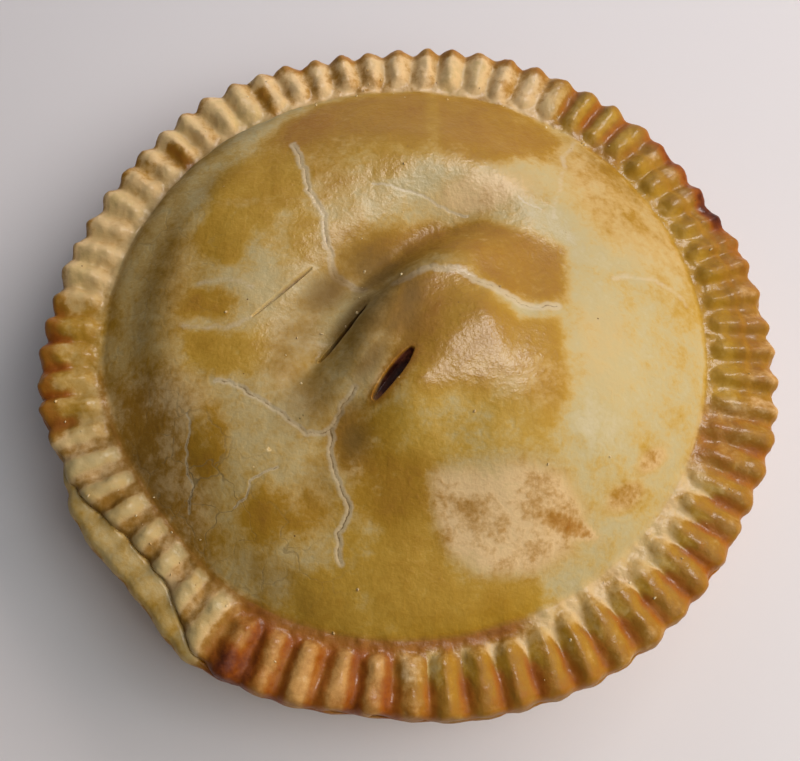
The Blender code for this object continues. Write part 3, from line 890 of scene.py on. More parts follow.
def lid_height(x, y):
    """How high the lid stands above the crease."""
    bearing = np.degrees(np.arctan2(y, x))
    share = np.minimum(np.hypot(x, y) / crease(bearing), 1.0)
    power = DOME_POWER
    for centre, change, spread in FULLER_SIDES:
        power = power + change * lobe(bearing, centre, spread)
    roundness = DOME_ROUNDNESS
    for centre, change, spread in ROUNDER_SIDES:
        roundness = roundness + change * lobe(bearing, centre, spread)
    dome = DOME_HEIGHT * (1.0 - share**power) ** roundness
    centre, step, spread = LEFT_STEP
    slump = step * lobe(bearing, centre, spread)
    brow = bell(share - LEFT_STEP_SHARE + LEFT_STEP_WIDTH, BROW_WIDTH)
    foot = bell(share - LEFT_STEP_SHARE - LEFT_STEP_WIDTH, LEFT_STEP_WIDTH)
    radius, height, width, centre, spread = FAR_SWELL
    swell = height * bell(np.hypot(x, y) - radius, width) * lobe(bearing, centre, spread)
    relief = hump(x, y) + swell
    for place, half_sizes, turn, rise in LID_MOUNDS:
        relief = relief + rise * mound(x, y, place, half_sizes, turn)
    return dome + slump * (brow - 0.5 * foot) + relief * smoothstep((1.0 - share) / SHOULDER)


# The lid is rolled flat as a square grid of faces bent to a disc, so that its edge has eight
# columns for each crimp. On the flat disc, radius 1 is the crease, 2 the lid's edge and 3 its
# under edge, and the last rings close it below.
COLUMNS_PER_CRIMP = 8
GRID = CRIMPS * COLUMNS_PER_CRIMP // 4
RIM_RINGS = np.concatenate([np.linspace(0.0, 0.2, 4)[1:], np.linspace(0.2, 0.9, 9)[1:], (0.95, 1.0)])
EDGE_RINGS = (2.25, 2.5, 2.75, 3.0)
UNDER_RINGS = (3.3, 3.7, 4.0)
CLOSING_RING = 5.0
RING_SLACK = 0.01

# Where the lid's layer ends it bulges a little and lies just above the case, and it turns back
# under itself to this radius, this far below its own layer.
UNDER_RADIUS = 0.079
UNDER_GAP = 0.0003
EDGE_GAP = 0.00005
EDGE_BULGE = 0.00025

# The faces are split once within each of these distances of a crack or a cut, and once more
# near a cut. Points further from a crack's box than BREAK_REACH count as far away.
SPLIT_REACHES = (0.0026, 0.0013)
CUT_SPLIT_REACH = 0.0022
FAR_AWAY = 1.0
BREAK_REACH = 0.008


def bent_to_disc(mesh):
    """Bends the square grid so that its four sides become one circle."""
    for vertex in mesh.verts:
        a, b = vertex.co.x, vertex.co.y
        if abs(a) > abs(b):
            radius, angle = a, math.pi / 4.0 * b / a
        elif b != 0.0:
            radius, angle = b, math.pi / 2.0 - math.pi / 4.0 * a / b
        else:
            radius, angle = 0.0, 0.0
        vertex.co = (radius * math.cos(angle), radius * math.sin(angle), 0.0)


def on_pie(flat):
    """For points of the flat disc: ring, crimp count, bearing, size, tilt and radius."""
    ring = np.hypot(flat[:, 0], flat[:, 1])
    count = np.degrees(np.arctan2(flat[:, 1], flat[:, 0])) % 360.0 * CRIMPS / 360.0
    bearing, size, tilt = crimp_at(count)
    inner = crease(bearing)
    edge, _ = lid_edge(bearing)
    radius = np.where(ring < 1.0, ring * inner, inner + (np.minimum(ring, 2.0) - 1.0) * (edge - inner))
    return ring, count, bearing, size, tilt, radius


def near_cuts(x, y):
    """The distance to the nearest vent cut's middle line."""
    nearest = np.full(len(x), FAR_AWAY)
    for place, length, _, _, turn in VENT_CUTS:
        along, across = along_and_across(x, y, place, turn)
        past = np.maximum(np.abs(along) - length / 2.0, 0.0)
        nearest = np.minimum(nearest, np.hypot(past, across))
    return nearest


# Where the crust cracked: the half width of the pale band along each crack, how dark its line is,
# how deep it is, and the points that it runs through from the middle, all in millimetres. A crack
# without a dark line is a faint pale stretch mark.
CRACKS = (
    (1.1, 0.6, 0.075, (
        (-4, 9), (2, 11.5), (6, 12.7), (12, 12), (16, 9.6), (21, 7), (25, 4), (28.5, 1.5), (38, 2),
    )),
    (1.0, 0.7, 0.105, ((-33, 57), (-29, 47), (-28, 40), (-23, 32), (-21, 20), (-20, 14), (-12, 10))),
    (0.9, 0.9, 0.12, (
        (-14, -21), (-17, -25), (-20, -31), (-20, -37), (-17, -46), (-15, -50), (-18, -56),
        (-17, -63),
    )),
    (0.7, 0.7, 0.09, ((-50, -17), (-43, -19), (-36, -24), (-31, -28), (-26, -32), (-20, -31))),
    (0.3, 0.6, 0.075, ((-57, -25), (-56, -30), (-57, -36), (-55, -43), (-56, -49))),
    (0.3, 0.6, 0.075, ((-33, -40), (-40, -43), (-41, -47), (-44, -49))),
    (0.8, 0.0, 0.0, ((49, 65), (44, 56), (43, 48), (41, 40), (39, 31))),
    (0.4, 0.5, 0.06, ((-10, 42), (0, 40), (8, 36), (16, 33))),
    (0.3, 0.3, 0.045, ((30, 38), (36, 34))),
    (0.8, 0.0, 0.0, ((55, 14), (67, 16), (76, 10))),
    (0.9, 0.0, 0.0, ((-57, 12), (-48, 13), (-42, 10))),
    (0.9, 0.0, 0.0, ((-60, 0), (-48, -2), (-42, 1))),
)
CRACK_WANDER = 0.12
CRACK_HALVINGS = 4


def wandering(points, rng):
    """A crack's path in metres, made ragged by pushing the middle of each stretch aside."""
    path = [np.array(point) * MM for point in points]
    for _ in range(CRACK_HALVINGS):
        finer = [path[0]]
        for start, end in zip(path, path[1:]):
            side = np.array((start[1] - end[1], end[0] - start[0]))
            finer += [(start + end) / 2.0 + side * rng.uniform(-CRACK_WANDER, CRACK_WANDER), end]
        path = finer
    return np.array(path)


rng = random.Random(SEED)
CRACK_PATHS = [
    (wandering(points, rng), band * MM, dark, depth * MM) for band, dark, depth, points in CRACKS
]


def distance_to(path, x, y):
    """The distance from each point to a path of short straight stretches, or far away."""
    nearest = np.full(len(x), FAR_AWAY)
    low_x, low_y = path.min(axis=0) - BREAK_REACH
    high_x, high_y = path.max(axis=0) + BREAK_REACH
    near = (x > low_x) & (x < high_x) & (y > low_y) & (y < high_y)
    chosen_x, chosen_y = x[near], y[near]
    best = np.full(len(chosen_x), FAR_AWAY)
    for start, end in zip(path, path[1:]):
        run = end - start
        share = ((chosen_x - start[0]) * run[0] + (chosen_y - start[1]) * run[1]) / (run @ run)
        share = np.clip(share, 0.0, 1.0)
        away = np.hypot(chosen_x - start[0] - share * run[0], chosen_y - start[1] - share * run[1])
        best = np.minimum(best, away)
    nearest[near] = best
    return nearest


def near_breaks(x, y):
    """The distance to the nearest crack or cut that opens the crust."""
    nearest = near_cuts(x, y)
    for path, _, dark, _ in CRACK_PATHS:
        if dark:
            nearest = np.minimum(nearest, distance_to(path, x, y))
    return nearest


# How the lid baked, painted in this order over bare pastry; a few pale patches are painted
# highlights and painted light. Each patch has how far it is baked and glazed, how soft its edge
# is, and its corners, or its middle, half sizes and turn, all in millimetres and degrees.
BARE_BAKING = (0.16, 0.28)
LID_PATCHES = (
    (0.26, 0.38, 12, ((-32, -15), (34, 55), 0)),
    (0.33, 0.52, 9, ((-90, 40), (-78, 60), (-60, 55), (-58, 20), (-60, -10), (-72, -30), (-90, -20))),
    (0.44, 0.55, 7, ((-78, -14), (-62, -12), (-52, -20), (-50, -60), (-60, -72), (-80, -50))),
    (0.42, 0.92, 3.8, (
        (-35, 60), (-33, 64), (-28, 70), (-22, 76), (-14, 81), (-5, 84), (8, 85), (22, 83),
        (34, 78), (43, 70), (45, 62), (40, 53), (30, 50), (20, 47), (12, 49), (6, 55), (-4, 52),
        (-10, 46), (-18, 40), (-24, 36), (-28, 44), (-32, 56),
    )),
    (0.33, 1.00, 3, (
        (-52, 48), (-38, 57), (-34, 57), (-30, 46), (-29, 38), (-25, 30), (-27, 20), (-34, 18), (-42, 16),
        (-50, 18), (-55, 22), (-57, 28), (-56, 34), (-54, 40),
    )),
    (0.36, 0.80, 4.5, ((-22, 28), (-12, 30), (-10, 22), (-12, 14), (-18, 12), (-24, 16))),
    (0.50, 1.00, 3, (
        (-14, 22), (-6, 28), (3, 31), (20, 31), (34, 26), (42, 22), (41, 4), (30, 3), (24, 5), (18, 11),
        (15, 17), (6, 18), (-2, 15), (-8, 16),
    )),
    (0.40, 1.00, 2.2, (
        (-3, 9), (6, 11), (14, 13), (18, 7), (24, 1), (28, -3), (38, -2), (39, -12), (38, -24), (35, -31),
        (24, -35), (12, -37), (3, -36), (-2, -30), (2, -14), (-4, -2),
    )),
    (0.40, 1.00, 4.5, (
        (-17, -50), (-13, -42), (-17, -34), (-10, -27), (0, -30), (8, -40), (5, -50), (-4, -56),
    )),
    (0.42, 0.24, 4, (
        (4, -42), (12, -39), (26, -38), (38, -42), (44, -50), (40, -60), (30, -66), (16, -67),
        (6, -60),
    )),
    (0.31, 0.95, 3.8, (
        (-18, -54), (-8, -56), (4, -54), (9, -62), (18, -67), (32, -67), (36, -72), (24, -80), (8, -84),
        (-10, -84), (-24, -80), (-32, -74), (-28, -66), (-20, -64),
    )),
    (0.42, 0.85, 3.8, (
        (-44, -48), (-36, -45), (-26, -44), (-19, -47), (-19, -53), (-26, -56), (-38, -56),
    )),
    (0.30, 0.90, 3, ((-59, -2), (-48, -4), (-38, -1), (-36, -8), (-40, -16), (-50, -14), (-58, -12))),
    (0.42, 1.00, 2.2, ((-62, 3), (-58, 10), (-50, 11), (-46, 6), (-50, 2))),
    (0.26, 0.55, 5, ((-8, 50), (9, 6), 0)),
    (0.50, 1.00, 5, ((-27, 67), (13, 6), 42)),
    (0.46, 1.00, 5, ((24, 58), (13, 5), 8)),
    (0.30, 0.70, 2.2, ((7, 70), (1.8, 12), 0)),
    (0.34, 0.75, 4.5, ((-40, 37), (12, 1.5), 0)),
    (0.24, 0.40, 3, ((-34, 30), (3, 3), 0)),
    (0.52, 1.00, 5, ((2, 0), (6, 11), -10)),
    # A painted sheen on the lower right of the hump.
    (0.38, 0.62, 5, ((25, -21), (13, 7), -8)),
    # A painted highlight left of the middle.
    (0.24, 0.45, 3, ((-38, 22), (7, 5), 30)),
    (0.48, 1.00, 4, ((-5, -40), (5, 10), 0)),
    (0.56, 1.00, 3, ((-14, -34), (5, 7), 0)),
    # Painted light and sheen on the near foot of the hump, below the open cut.
    (0.22, 0.72, 5, ((13, -32), (17, 7), 0)),
    (0.46, 1.00, 4.5, ((-51, -32), (4.5, 7), 0)),
    (0.34, 0.45, 8, ((61, 42), (14, 22), 30)),
    (0.38, 0.66, 6, ((68, 41), (7, 17), 27)),
    (0.42, 0.45, 2, ((54, -45.5), (5, 2.4), 32)),
    (0.42, 0.45, 2, ((62, -35.5), (4.5, 2.0), 38)),
    (0.56, 0.50, 1.5, ((40, -54), (6, 1.6), -14)),
    (0.08, 0.06, 6, ((46, -29), (6, 8), 0)),
    # A painted highlight on the far swell.
    (0.36, 0.08, 5, ((21, 40), (12, 5), 12)),
    (0.20, 0.05, 4, ((50, -8), (6, 12), 0)),
)

# An oval patch is painted wholly over its flat middle, and fades out a little past its sizes.
OVAL_REACH = 1.2
OVAL_FLATNESS = 1.4

# Where the crust is dull and olive brown: painted shade in the valleys by the cuts, on the hump's
# steep side and on the dome's left and near left, and crust that steam kept thin by the cuts.
# And where it dried and crazed. Each has its middle, half sizes, turn and amount.
SHADE_AND_DAMP_SPOTS = (
    ((-30, -4), (24, 9), 70, 0.55),
    ((-8, 1), (25, 7), 66, 0.9),
    ((-12, 19), (13, 9), 30, 0.85),
    ((-25, -22), (11, 12), 0, 0.75),
    ((-23, -44), (6, 9), 0, 0.5),
    ((-8, 14), (12, 5), 42, 1.0),
    ((0, 3), (5, 16), -8, 0.85),
    ((-22, 10), (12, 6), 46, 1.0),
    ((-14, 3), (13, 3.5), 50, 1.0),
    ((-4, -4), (12, 3.5), 62, 0.8),
    ((-10, -14), (11, 4), 56, 0.95),
    ((-30, -12), (12, 5), 54, 0.35),
    ((-16, -27), (5, 8), -20, 0.7),
    ((-14, -34), (5, 7), 0, 0.9),
    ((6, 15), (12, 4), 10, 0.45),
    ((-65, 16), (26, 7), 90, 0.6),
    ((-56, 44), (14, 6), 60, 0.4),
    ((-34, -66), (18, 7), -32, 0.5),
    ((-67, -40), (16, 7), -60, 0.6),
)
DRY_SPOTS = (
    ((-55, -42), (26, 14), -58, 0.7),
    ((-36, -60), (16, 10), -20, 0.6),
    ((-66, 20), (26, 14), 90, 0.35),
)

# Painted shade along the foot of the dome beside the crease: bearing, amount, spread. It is
# strongest this far inside the crease, and fades over this width.
FOOT_SHADE = ((133, 0.55, 20), (222, 0.3, 20), (42, 0.35, 25))
FOOT_INSIDE = 0.003
FOOT_WIDTH = 0.005

# Painted shade that darkens and dulls the rim at the lower left: first and last bearing, ends,
# the amount on the crests, and how much more in the hollows between them. Painted shade and
# dampness in the moat at the near side: first and last bearing, ends, the share of the way out
# where it ends, and the amount.
SHADED_RIM = (192, 240, 12, 0.12, 0.38)
SHADED_DAMP_MOAT = (192, 292, 14, 0.34, 0.5)


def spots(x, y, table):
    """The strongest of several oval spots at each point."""
    amount = np.zeros(len(x))
    for (a, b), (half_a, half_b), turn, strength in table:
        spot = mound(x, y, (a * MM, b * MM), (half_a * MM, half_b * MM), turn)
        amount = np.maximum(amount, strength * spot)
    return amount


def depth_inside(x, y, corners):
    """How far inside an outline each point lies, negative outside it."""
    nearest = np.full(len(x), FAR_AWAY)
    crossings = np.zeros(len(x), int)
    for (x0, y0), (x1, y1) in zip(corners, corners[1:] + corners[:1]):
        run_x, run_y = x1 - x0, y1 - y0
        share = np.clip(((x - x0) * run_x + (y - y0) * run_y) / (run_x**2 + run_y**2), 0.0, 1.0)
        nearest = np.minimum(nearest, np.hypot(x - x0 - share * run_x, y - y0 - share * run_y))
        if run_y:
            crossings += ((y0 > y) != (y1 > y)) & (x < x0 + (y - y0) * run_x / run_y)
    return np.where(crossings % 2 == 1, nearest, -nearest)


def lid_baking(x, y):
    """How far the lid is baked and glazed, with its painted highlights and painted light."""
    bake, glaze = [np.full(len(x), amount) for amount in BARE_BAKING]
    for baked, glazed, soft, shape in LID_PATCHES:
        is_outline = len(shape) > 3
        if is_outline:
            corners = tuple((a * MM, b * MM) for a, b in shape)
            weight = smoothstep(0.5 + depth_inside(x, y, corners) / (2.0 * soft * MM))
        else:
            (a, b), (half_a, half_b), turn = shape
            sizes = (half_a * MM * OVAL_REACH, half_b * MM * OVAL_REACH)
            weight = smoothstep(OVAL_FLATNESS * mound(x, y, (a * MM, b * MM), sizes, turn))
        bake = bake + weight * (baked - bake)
        glaze = glaze + weight * (glazed - glaze)
    return bake, glaze


def split_once(mesh, edges):
    """Splits edges in two, and makes triangles of the faces that get more than four corners."""
    bmesh.ops.subdivide_edges(mesh, edges=edges, cuts=1, use_grid_fill=True, use_single_edge=True)
    bmesh.ops.triangulate(mesh, faces=[face for face in mesh.faces if len(face.verts) > 4])


def split_near(mesh, distance, reach):
    """Splits the edges of every face that has a corner within reach of a break."""
    flat = np.array([vertex.co[:] for vertex in mesh.verts])
    ring, _, bearing, _, _, radius = on_pie(flat)
    angle = np.radians(bearing)
    close = (distance(radius * np.cos(angle), radius * np.sin(angle)) < reach) & (ring < 1.0)
    mesh.verts.index_update()
    for face in mesh.faces:
        face.tag = any(close[corner.index] for corner in face.verts)
    split_once(mesh, [edge for edge in mesh.edges if any(face.tag for face in edge.link_faces)])


def rolled_lid():
    """The flat lid: the bent grid, the rings of its rim and under edge, and finer faces at breaks."""
    sheet = bmesh.new()
    bmesh.ops.create_grid(sheet, x_segments=GRID, y_segments=GRID, size=1.0)
    bent_to_disc(sheet)
    border = [vertex for vertex in sheet.verts if vertex.is_boundary]
    border.sort(key=lambda vertex: math.atan2(vertex.co.y, vertex.co.x))
    for ring in (*(1.0 + RIM_RINGS), *EDGE_RINGS, *UNDER_RINGS):
        grown = [sheet.verts.new(vertex.co * (ring / vertex.co.length)) for vertex in border]
        for index in range(len(border)):
            sheet.faces.new((border[index], border[index - 1], grown[index - 1], grown[index]))
        border = grown
    middle = sheet.verts.new((CLOSING_RING, 0.0, 0.0))
    for index in range(len(border)):
        sheet.faces.new((border[index], border[index - 1], middle))
    rim_edges = []
    for edge in sheet.edges:
        start, end = sorted(corner.co.length for corner in edge.verts)
        if start > 1.0 - RING_SLACK and end < EDGE_RINGS[-1] + RING_SLACK:
            rim_edges.append(edge)
    split_once(sheet, rim_edges)
    for reach in SPLIT_REACHES:
        split_near(sheet, near_breaks, reach)
    split_near(sheet, near_cuts, CUT_SPLIT_REACH)
    mesh = bpy.data.meshes.new("lid_blank")
    sheet.to_mesh(mesh)
    sheet.free()
    return mesh


# A cut wider than this stands open, over a dark filling, and its edges are scorched: how far
# from them, how far baked and how far glazed.
OPEN_WIDTH = 0.002
SCORCH_REACH = 0.002
SCORCH_BAKING = (0.60, 0.8)

# How softly the crust turns down into a cut: how far outside the cut it starts, and over what
# distance. Open cuts are only open past the first width, and wholly so past both.
CUT_ROUNDING = (0.0003, 0.00055)
OPENING_WIDTHS = (0.0004, 0.0016)

# How dark a cut's line is, and how much darker for each metre of width.
CUT_LINE = (0.4, 120.0)

# Towards its lower end an open cut is less open, and a narrow one is less dark: the amount at the
# middle, and how much more there is for each length further up. Both ends run out steeply.
OPEN_ALONG = (0.85, 1.2)
DARK_ALONG = (0.45, 1.4)
CUT_END_STEEPNESS = 5.0

# The half widths of a crack's dip and of its dark line, how much wider than its band the pale
# crust beside it is, and how pale a stretch mark is.
CRACK_DIP = 0.0004
CRACK_LINE = 0.00024
PALE_SPREAD = 1.3
STRETCH_MARK_PALE = 0.62

# The dome's crust is less lumpy than the rim's, and their baking blends over the crease.
DOME_LUMPS = 0.25
LUMPS_FADE = 0.125
CREASE_BLEND = 0.002


def cut_marks(x, y):
    """How deep the vent cuts are, how dark, how far open, and how scorched the crust beside."""
    depths, dark, opened, scorch = np.zeros((4, len(x)))
    for place, length, width, depth, turn in VENT_CUTS:
        along, across = along_and_across(x, y, place, turn)
        inside = 1.0 - (along / length * 2.0) ** 2
        oval = np.sqrt(np.clip(inside, 0.0, 1.0))
        half = oval * width / 2.0
        sunk = smoothstep((half + CUT_ROUNDING[0] - np.abs(across)) / CUT_ROUNDING[1])
        sunk = sunk * smoothstep(inside * CUT_END_STEEPNESS)
        depths = depths + depth * sunk * oval
        deeper = smoothstep(OPEN_ALONG[0] + OPEN_ALONG[1] * along / length)
        wide_enough = smoothstep((width - OPENING_WIDTHS[0]) / OPENING_WIDTHS[1])
        opened = np.maximum(opened, sunk * deeper * wide_enough)
        is_open = width > OPEN_WIDTH
        darker = 1.0 if is_open else smoothstep(DARK_ALONG[0] + DARK_ALONG[1] * along / length)
        dark = np.maximum(dark, (CUT_LINE[0] + CUT_LINE[1] * width) * sunk * darker)
        if is_open:
            beside = np.maximum(np.abs(across) - half, 0.0)
            beyond = np.maximum(np.abs(along) - length / 2.0, 0.0)
            scorch = np.maximum(scorch, bell(beside + beyond, SCORCH_REACH))
    return depths, dark, opened, scorch


def crack_marks(x, y):
    """How deep the cracks are, how dark their lines and how pale the crust beside them."""
    depths, dark, pale = np.zeros((3, len(x)))
    for path, band, darkness, depth in CRACK_PATHS:
        away = distance_to(path, x, y)
        depths = depths + depth * bell(away, CRACK_DIP)
        dark = np.maximum(dark, darkness * bell(away, CRACK_LINE))
        paleness = 1.0 if darkness else STRETCH_MARK_PALE
        pale = np.maximum(pale, paleness * bell(away, PALE_SPREAD * band))
    return depths, dark, pale


def dome_damp_and_shade(x, y, bearing, past_crease):
    """The dome's olive painted shade and steamed crust, in spots and along its foot by the crease."""
    foot = bell(past_crease + FOOT_INSIDE, FOOT_WIDTH)
    foot = foot * sum(amount * lobe(bearing, centre, spread) for centre, amount, spread in FOOT_SHADE)
    return np.maximum(spots(x, y, SHADE_AND_DAMP_SPOTS), foot)


def rim_shade_and_damp(bearing, share, phase):
    """How far painted shade and dampness darken and dull the rim."""
    first, last, ends, on_crests, between_crests = SHADED_RIM
    hollow = 1.0 - smoothstep(0.5 + 0.9 * np.cos(np.pi * phase))
    shaded = between(bearing, first, last, ends) * (on_crests + between_crests * hollow)
    first, last, ends, end, amount = SHADED_DAMP_MOAT
    moated = amount * between(bearing, first, last, ends) * (1.0 - smoothstep(share / end))
    return np.maximum(shaded, moated)


lid_mesh = rolled_lid()
ring, count, bearing, size, tilt, radius = on_pie(points_of(lid_mesh))
angle = np.radians(bearing)
x, y = radius * np.cos(angle), radius * np.sin(angle)
rim_share = np.clip(ring - 1.0, 0.0, 1.0)
phase = ridge_phase(count)
past_crease = radius - crease(bearing)
edge, drop = lid_edge(bearing)
on_dome = ring < 1.0
cut_depth, cut_dark, opened, scorch = cut_marks(x, y)
crack_depth, crack_dark, pale = crack_marks(x, y)

# The dome with its cuts and cracks stands above the crease. The rim lies lower past its fold.
dome_level = RIM_HEIGHT - CREASE_DROP + lid_height(x, y) - cut_depth - crack_depth
first, last, ends, back, low = FOLD_LINE
past_fold = radius - case_edge(bearing) + back
step = smoothstep(past_fold / FOLD_WIDTH) + 0.5 * bell(past_fold, FOLD_WIDTH)
fold = between(bearing, first, last, ends) * low * step
level = np.where(on_dome, dome_level, rim_level(edge - radius)) - fold
gain = ridge_gain(rim_share, bearing, size)
push = scallop_gain(bearing) * smoothstep((rim_share - 0.5) / 0.5)
inner_end = np.clip(1.0 - (past_crease - moat(bearing)) / CRIMP_END, 0.0, 1.0)

# The dome's baking runs into the rim's at the crease.
dome_bake, dome_glaze = lid_baking(x, y)
rim_bake, rim_glaze = rim_baking(bearing, rim_share, phase)
crease_side = smoothstep(0.5 + past_crease / CREASE_BLEND)
bake = dome_bake + crease_side * (rim_bake - dome_bake)
glaze = dome_glaze + crease_side * (rim_glaze - dome_glaze)
bake = bake + scorch * (SCORCH_BAKING[0] - bake)
glaze = glaze + SCORCH_BAKING[1] * scorch * (1.0 - glaze)

# Past its edge the lid turns down, back under itself and closes.
down = np.clip(ring - 2.0, 0.0, 1.0)
back = np.clip(ring - 3.0, 0.0, 1.0)
level = level - down * np.minimum(drop, LID_THICKNESS) - np.where(ring > 2.0, EDGE_GAP, 0.0)
under_level = RIM_HEIGHT - CREASE_DROP - LID_THICKNESS - UNDER_GAP
level = np.where(ring > 3.0, level * (1.0 - back) + under_level * back, level)
radius = np.where(ring > 2.0, edge + EDGE_BULGE * np.sin(np.pi * down), radius)
radius = np.where(ring > 3.0, edge * (1.0 - back) + UNDER_RADIUS * back, radius)
radius = np.where(ring > (UNDER_RINGS[-1] + CLOSING_RING) / 2.0, 0.0, radius)
x, y = radius * np.cos(angle), radius * np.sin(angle)
lid_mesh.vertices.foreach_set("co", np.stack([x, y, level], -1).astype(np.float32).ravel())

# Painted shade, with steam-softened crust by the cuts, darkens and dulls the dome and rim.
damp_and_shade = dome_damp_and_shade(x, y, bearing, past_crease) * (1.0 - crease_side)
damp_and_shade = damp_and_shade + crease_side * rim_shade_and_damp(bearing, rim_share, phase) * (1.0 - down)
lid_fields = {
    "crimp_count": count + tilt * (rim_share - 0.5),
    "crimp_lean": crimp_lean(bearing),
    "inner_end": inner_end,
    "ridge_gain": gain * (1.0 - down),
    "edge_gain": push * (1.0 - back),
    "lump_gain": DOME_LUMPS + (1.0 - DOME_LUMPS) * smoothstep(0.5 + (ring - 1.0) / LUMPS_FADE),
    "bake": bake,
    "glaze": glaze,
    "pale": pale,
    "line": np.maximum(cut_dark, crack_dark),
    "open": opened,
    "damp_and_shade": damp_and_shade,
    "dry": np.where(on_dome, spots(x, y, DRY_SPOTS), 0.0),
}
set_fields(lid_mesh, lid_fields)
lid_mesh.shade_smooth()
blank = bpy.data.objects.new("lid_blank", lid_mesh)
bpy.context.scene.collection.objects.link(blank)
lid_values = {
    "Ridge Depth": CRIMP_DEPTH,
    "Ridge Sharpness": CRIMP_SHARPNESS,
    "Scallop": CRIMP_SCALLOP,
    "Lump Height": 2.4 * MM,
    "Lump Size": 7.5 * MM,
    "Grain Height": 0.55 * MM,
    "Grain Size": 2.4 * MM,
    "Material": PASTRY,
}
lid = finished_by(PRESSED_CRUST, blank, "lid", lid_values)
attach(lid, "root")
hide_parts("pie")

# ======================================================================================
# Crumbs
# Dry flakes of shortcrust that broke off the crimps and lie in the crease and on the lid.
# ======================================================================================

CRUMBS_PER_AREA = 3.0e4
CRUMB_SIZES = (0.0004, 0.0013)
CRUMB_SHAPE = (1.0, 0.75, 0.45)

# Where they gather: middle, half sizes, turn and amount.
CRUMB_SPOTS = (
    ((0, 0), (70, 70), 0, 0.05),
    ((-15, 84), (40, 8), 0, 0.7),
    ((48, 72), (18, 7), -50, 0.9),
    ((-73, -46), (8, 30), 40, 0.6),
    ((60, -62), (26, 7), 48, 0.5),
    ((-20, -4), (9, 14), -35, 0.4),
)


def scattered_crumbs_tree():
    """Scatters flakes as thickly as the surface's crumbs field says, each one sized and turned."""
    tree, given, out = new_tree("scattered_crumbs", ("Smallest", "Largest", "Per Area"), ("Seed",))
    where = add_node(tree, "GeometryNodeInputNamedAttribute", {"Name": "crumbs"})
    amount = {0: where.outputs[0], 1: given.outputs["Per Area"]}
    density = add_node(tree, "ShaderNodeMath", amount, operation="MULTIPLY")
    surface = {"Mesh": given.outputs["Geometry"], "Density": density.outputs[0]}
    surface = {**surface, "Seed": given.outputs["Seed"]}
    spread = add_node(tree, "GeometryNodeDistributePointsOnFaces", surface)
    ball = add_node(tree, "GeometryNodeMeshIcoSphere", {"Radius": 0.5, "Subdivisions": 1})
    sizes = {2: given.outputs["Smallest"], 3: given.outputs["Largest"], "Seed": given.outputs["Seed"]}
    size = add_node(tree, "FunctionNodeRandomValue", sizes, data_type="FLOAT")
    shape = {0: CRUMB_SHAPE, "Scale": size.outputs[1]}
    shape = add_node(tree, "ShaderNodeVectorMath", shape, operation="SCALE")
    turns = {0: (0.0, 0.0, 0.0), 1: (math.tau, math.tau, math.tau), "Seed": given.outputs["Seed"]}
    turn = add_node(tree, "FunctionNodeRandomValue", turns, data_type="FLOAT_VECTOR")
    laid = {"Points": spread.outputs["Points"], "Instance": ball.outputs["Mesh"]}
    laid = {**laid, "Rotation": turn.outputs[0], "Scale": shape.outputs[0]}
    flakes = add_node(tree, "GeometryNodeInstanceOnPoints", laid)
    real = add_node(tree, "GeometryNodeRealizeInstances", {0: flakes.outputs[0]})
    coated = {"Geometry": real.outputs[0], "Material": given.outputs["Material"]}
    finished = add_node(tree, "GeometryNodeSetMaterial", coated)
    tree.links.new(finished.outputs[0], out.inputs[0])
    return tree


# Dry pale pastry, dull and a little uneven in colour.
CRUMB_TONES = ("#e0cfa2", "#c09a5c")


def dry_pastry(name):
    """Broken shortcrust, which is matt and turns browner in spots."""
    material = bpy.data.materials.new(name)
    material.use_nodes = True
    tree = material.node_tree
    tone = painted(tree, *CRUMB_TONES, mottle(tree, 1.5 * MM), -0.2, 0.2)
    shader = tree.nodes["Principled BSDF"]
    tree.links.new(tone, shader.inputs["Base Color"])
    shader.inputs["Roughness"].default_value = 0.75
    return material


surface = lid.data.copy()
places = points_of(surface)
upward = places[:, 2] > RIM_HEIGHT - CREASE_DROP - LID_THICKNESS
set_fields(surface, {"crumbs": spots(places[:, 0], places[:, 1], CRUMB_SPOTS) * upward})
blank = bpy.data.objects.new("crumb_blank", surface)
bpy.context.scene.collection.objects.link(blank)
crumb_values = {
    "Smallest": CRUMB_SIZES[0],
    "Largest": CRUMB_SIZES[1],
    "Per Area": CRUMBS_PER_AREA,
    "Seed": SEED,
    "Material": dry_pastry("pastry_crumb"),
}
crumbs = finished_by(scattered_crumbs_tree(), blank, "crumbs", crumb_values)
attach(crumbs, "root")

# ======================================================================================
# The table, the light and the camera
# ======================================================================================

TABLE_HALF = 1.5
floor_mesh = bpy.data.meshes.new("floor")
corners = [(TABLE_HALF * a, TABLE_HALF * b, 0.0) for a, b in ((-1, -1), (1, -1), (1, 1), (-1, 1))]
floor_mesh.from_pydata(corners, [], [(0, 1, 2, 3)])
floor = bpy.data.objects.new("floor", floor_mesh)
bpy.context.scene.collection.objects.link(floor)

# A pale matt table top.
floor_material = bpy.data.materials.new("pale_table")
floor_material.use_nodes = True
floor_shader = floor_material.node_tree.nodes["Principled BSDF"]
floor_shader.inputs["Base Color"].default_value = linear("#dfdad8")
floor_shader.inputs["Roughness"].default_value = 0.9
floor_mesh.materials.append(floor_material)
floor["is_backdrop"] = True

ROOM_COLOUR = (0.93, 0.95, 1.0, 1.0)
ROOM_STRENGTH = 0.04
world = bpy.data.worlds.new("studio")
bpy.context.scene.world = world
world.use_nodes = True
world.node_tree.nodes["Background"].inputs["Color"].default_value = ROOM_COLOUR
world.node_tree.nodes["Background"].inputs["Strength"].default_value = ROOM_STRENGTH

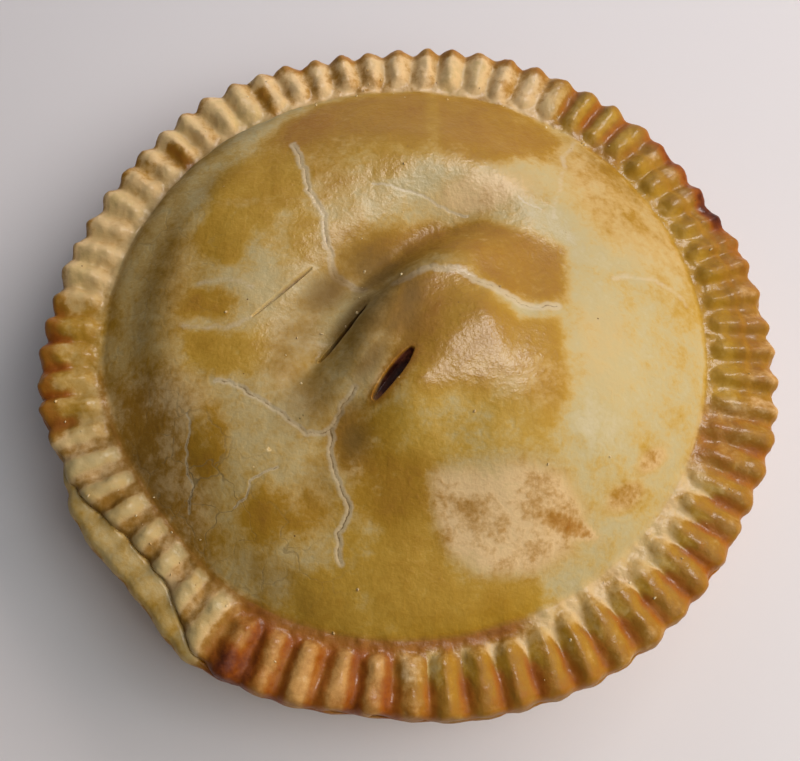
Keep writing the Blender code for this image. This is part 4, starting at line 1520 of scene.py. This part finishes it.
# Soft boxes that face the middle of the pie: name, bearing, elevation, distance, width, height,
# power, colour, whether it lights the crust and whether it shows in its shine.
LIGHTS = (
    ("window", 22, 30, 1.2, 1.5, 0.8, 15.5, (1.0, 0.89, 0.86), True, False),
    ("sky", 90, 14, 0.6, 0.5, 0.3, 1.2, (0.70, 0.82, 1.0), True, False),
    ("ceiling", -30, 52, 0.6, 0.4, 0.4, 1.7, (0.93, 0.97, 1.0), True, False),
    ("near_side", -84, 46, 0.6, 0.5, 0.4, 0.35, (1.0, 0.95, 0.92), True, False),
    ("lamp", -62, 68, 0.6, 0.14, 0.14, 0.16, (1.0, 0.97, 0.94), True, True),
    ("ceiling_lamp", 66, 61, 0.8, 0.22, 0.24, 6.0, (1.0, 0.97, 0.95), False, True),
)
for name, bearing, elevation, distance, width, height, power, colour, lights, shows in LIGHTS:
    light = bpy.data.lights.new(name, "AREA")
    light.shape = "RECTANGLE"
    light.size = width
    light.size_y = height
    light.energy = power
    light.color = colour
    lamp = bpy.data.objects.new(name, light)
    lamp.visible_glossy = shows
    lamp.visible_diffuse = lights
    turn, lift = math.radians(bearing), math.radians(elevation)
    lamp.location = (
        distance * math.cos(turn) * math.cos(lift),
        distance * math.sin(turn) * math.cos(lift),
        distance * math.sin(lift) + RIM_HEIGHT,
    )
    lamp.rotation_euler = (math.radians(90.0) - lift, 0.0, turn + math.radians(90.0))
    bpy.context.scene.collection.objects.link(lamp)

# The camera looks down at the pie from the near side.
CAMERA_PLACE = (-0.00262, -0.13104, 0.27528 + RIM_HEIGHT)
CAMERA_TILT = 23.42
camera = bpy.data.cameras.new("camera")
camera.lens = 50.51
camera.sensor_width = 36.0
viewpoint = bpy.data.objects.new("camera", camera)
viewpoint.location = CAMERA_PLACE
viewpoint.rotation_euler = (math.radians(CAMERA_TILT), 0.0, 0.0)
bpy.context.scene.collection.objects.link(viewpoint)
bpy.context.scene.camera = viewpoint
bpy.context.scene.view_settings.view_transform = "Standard"

low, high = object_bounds()
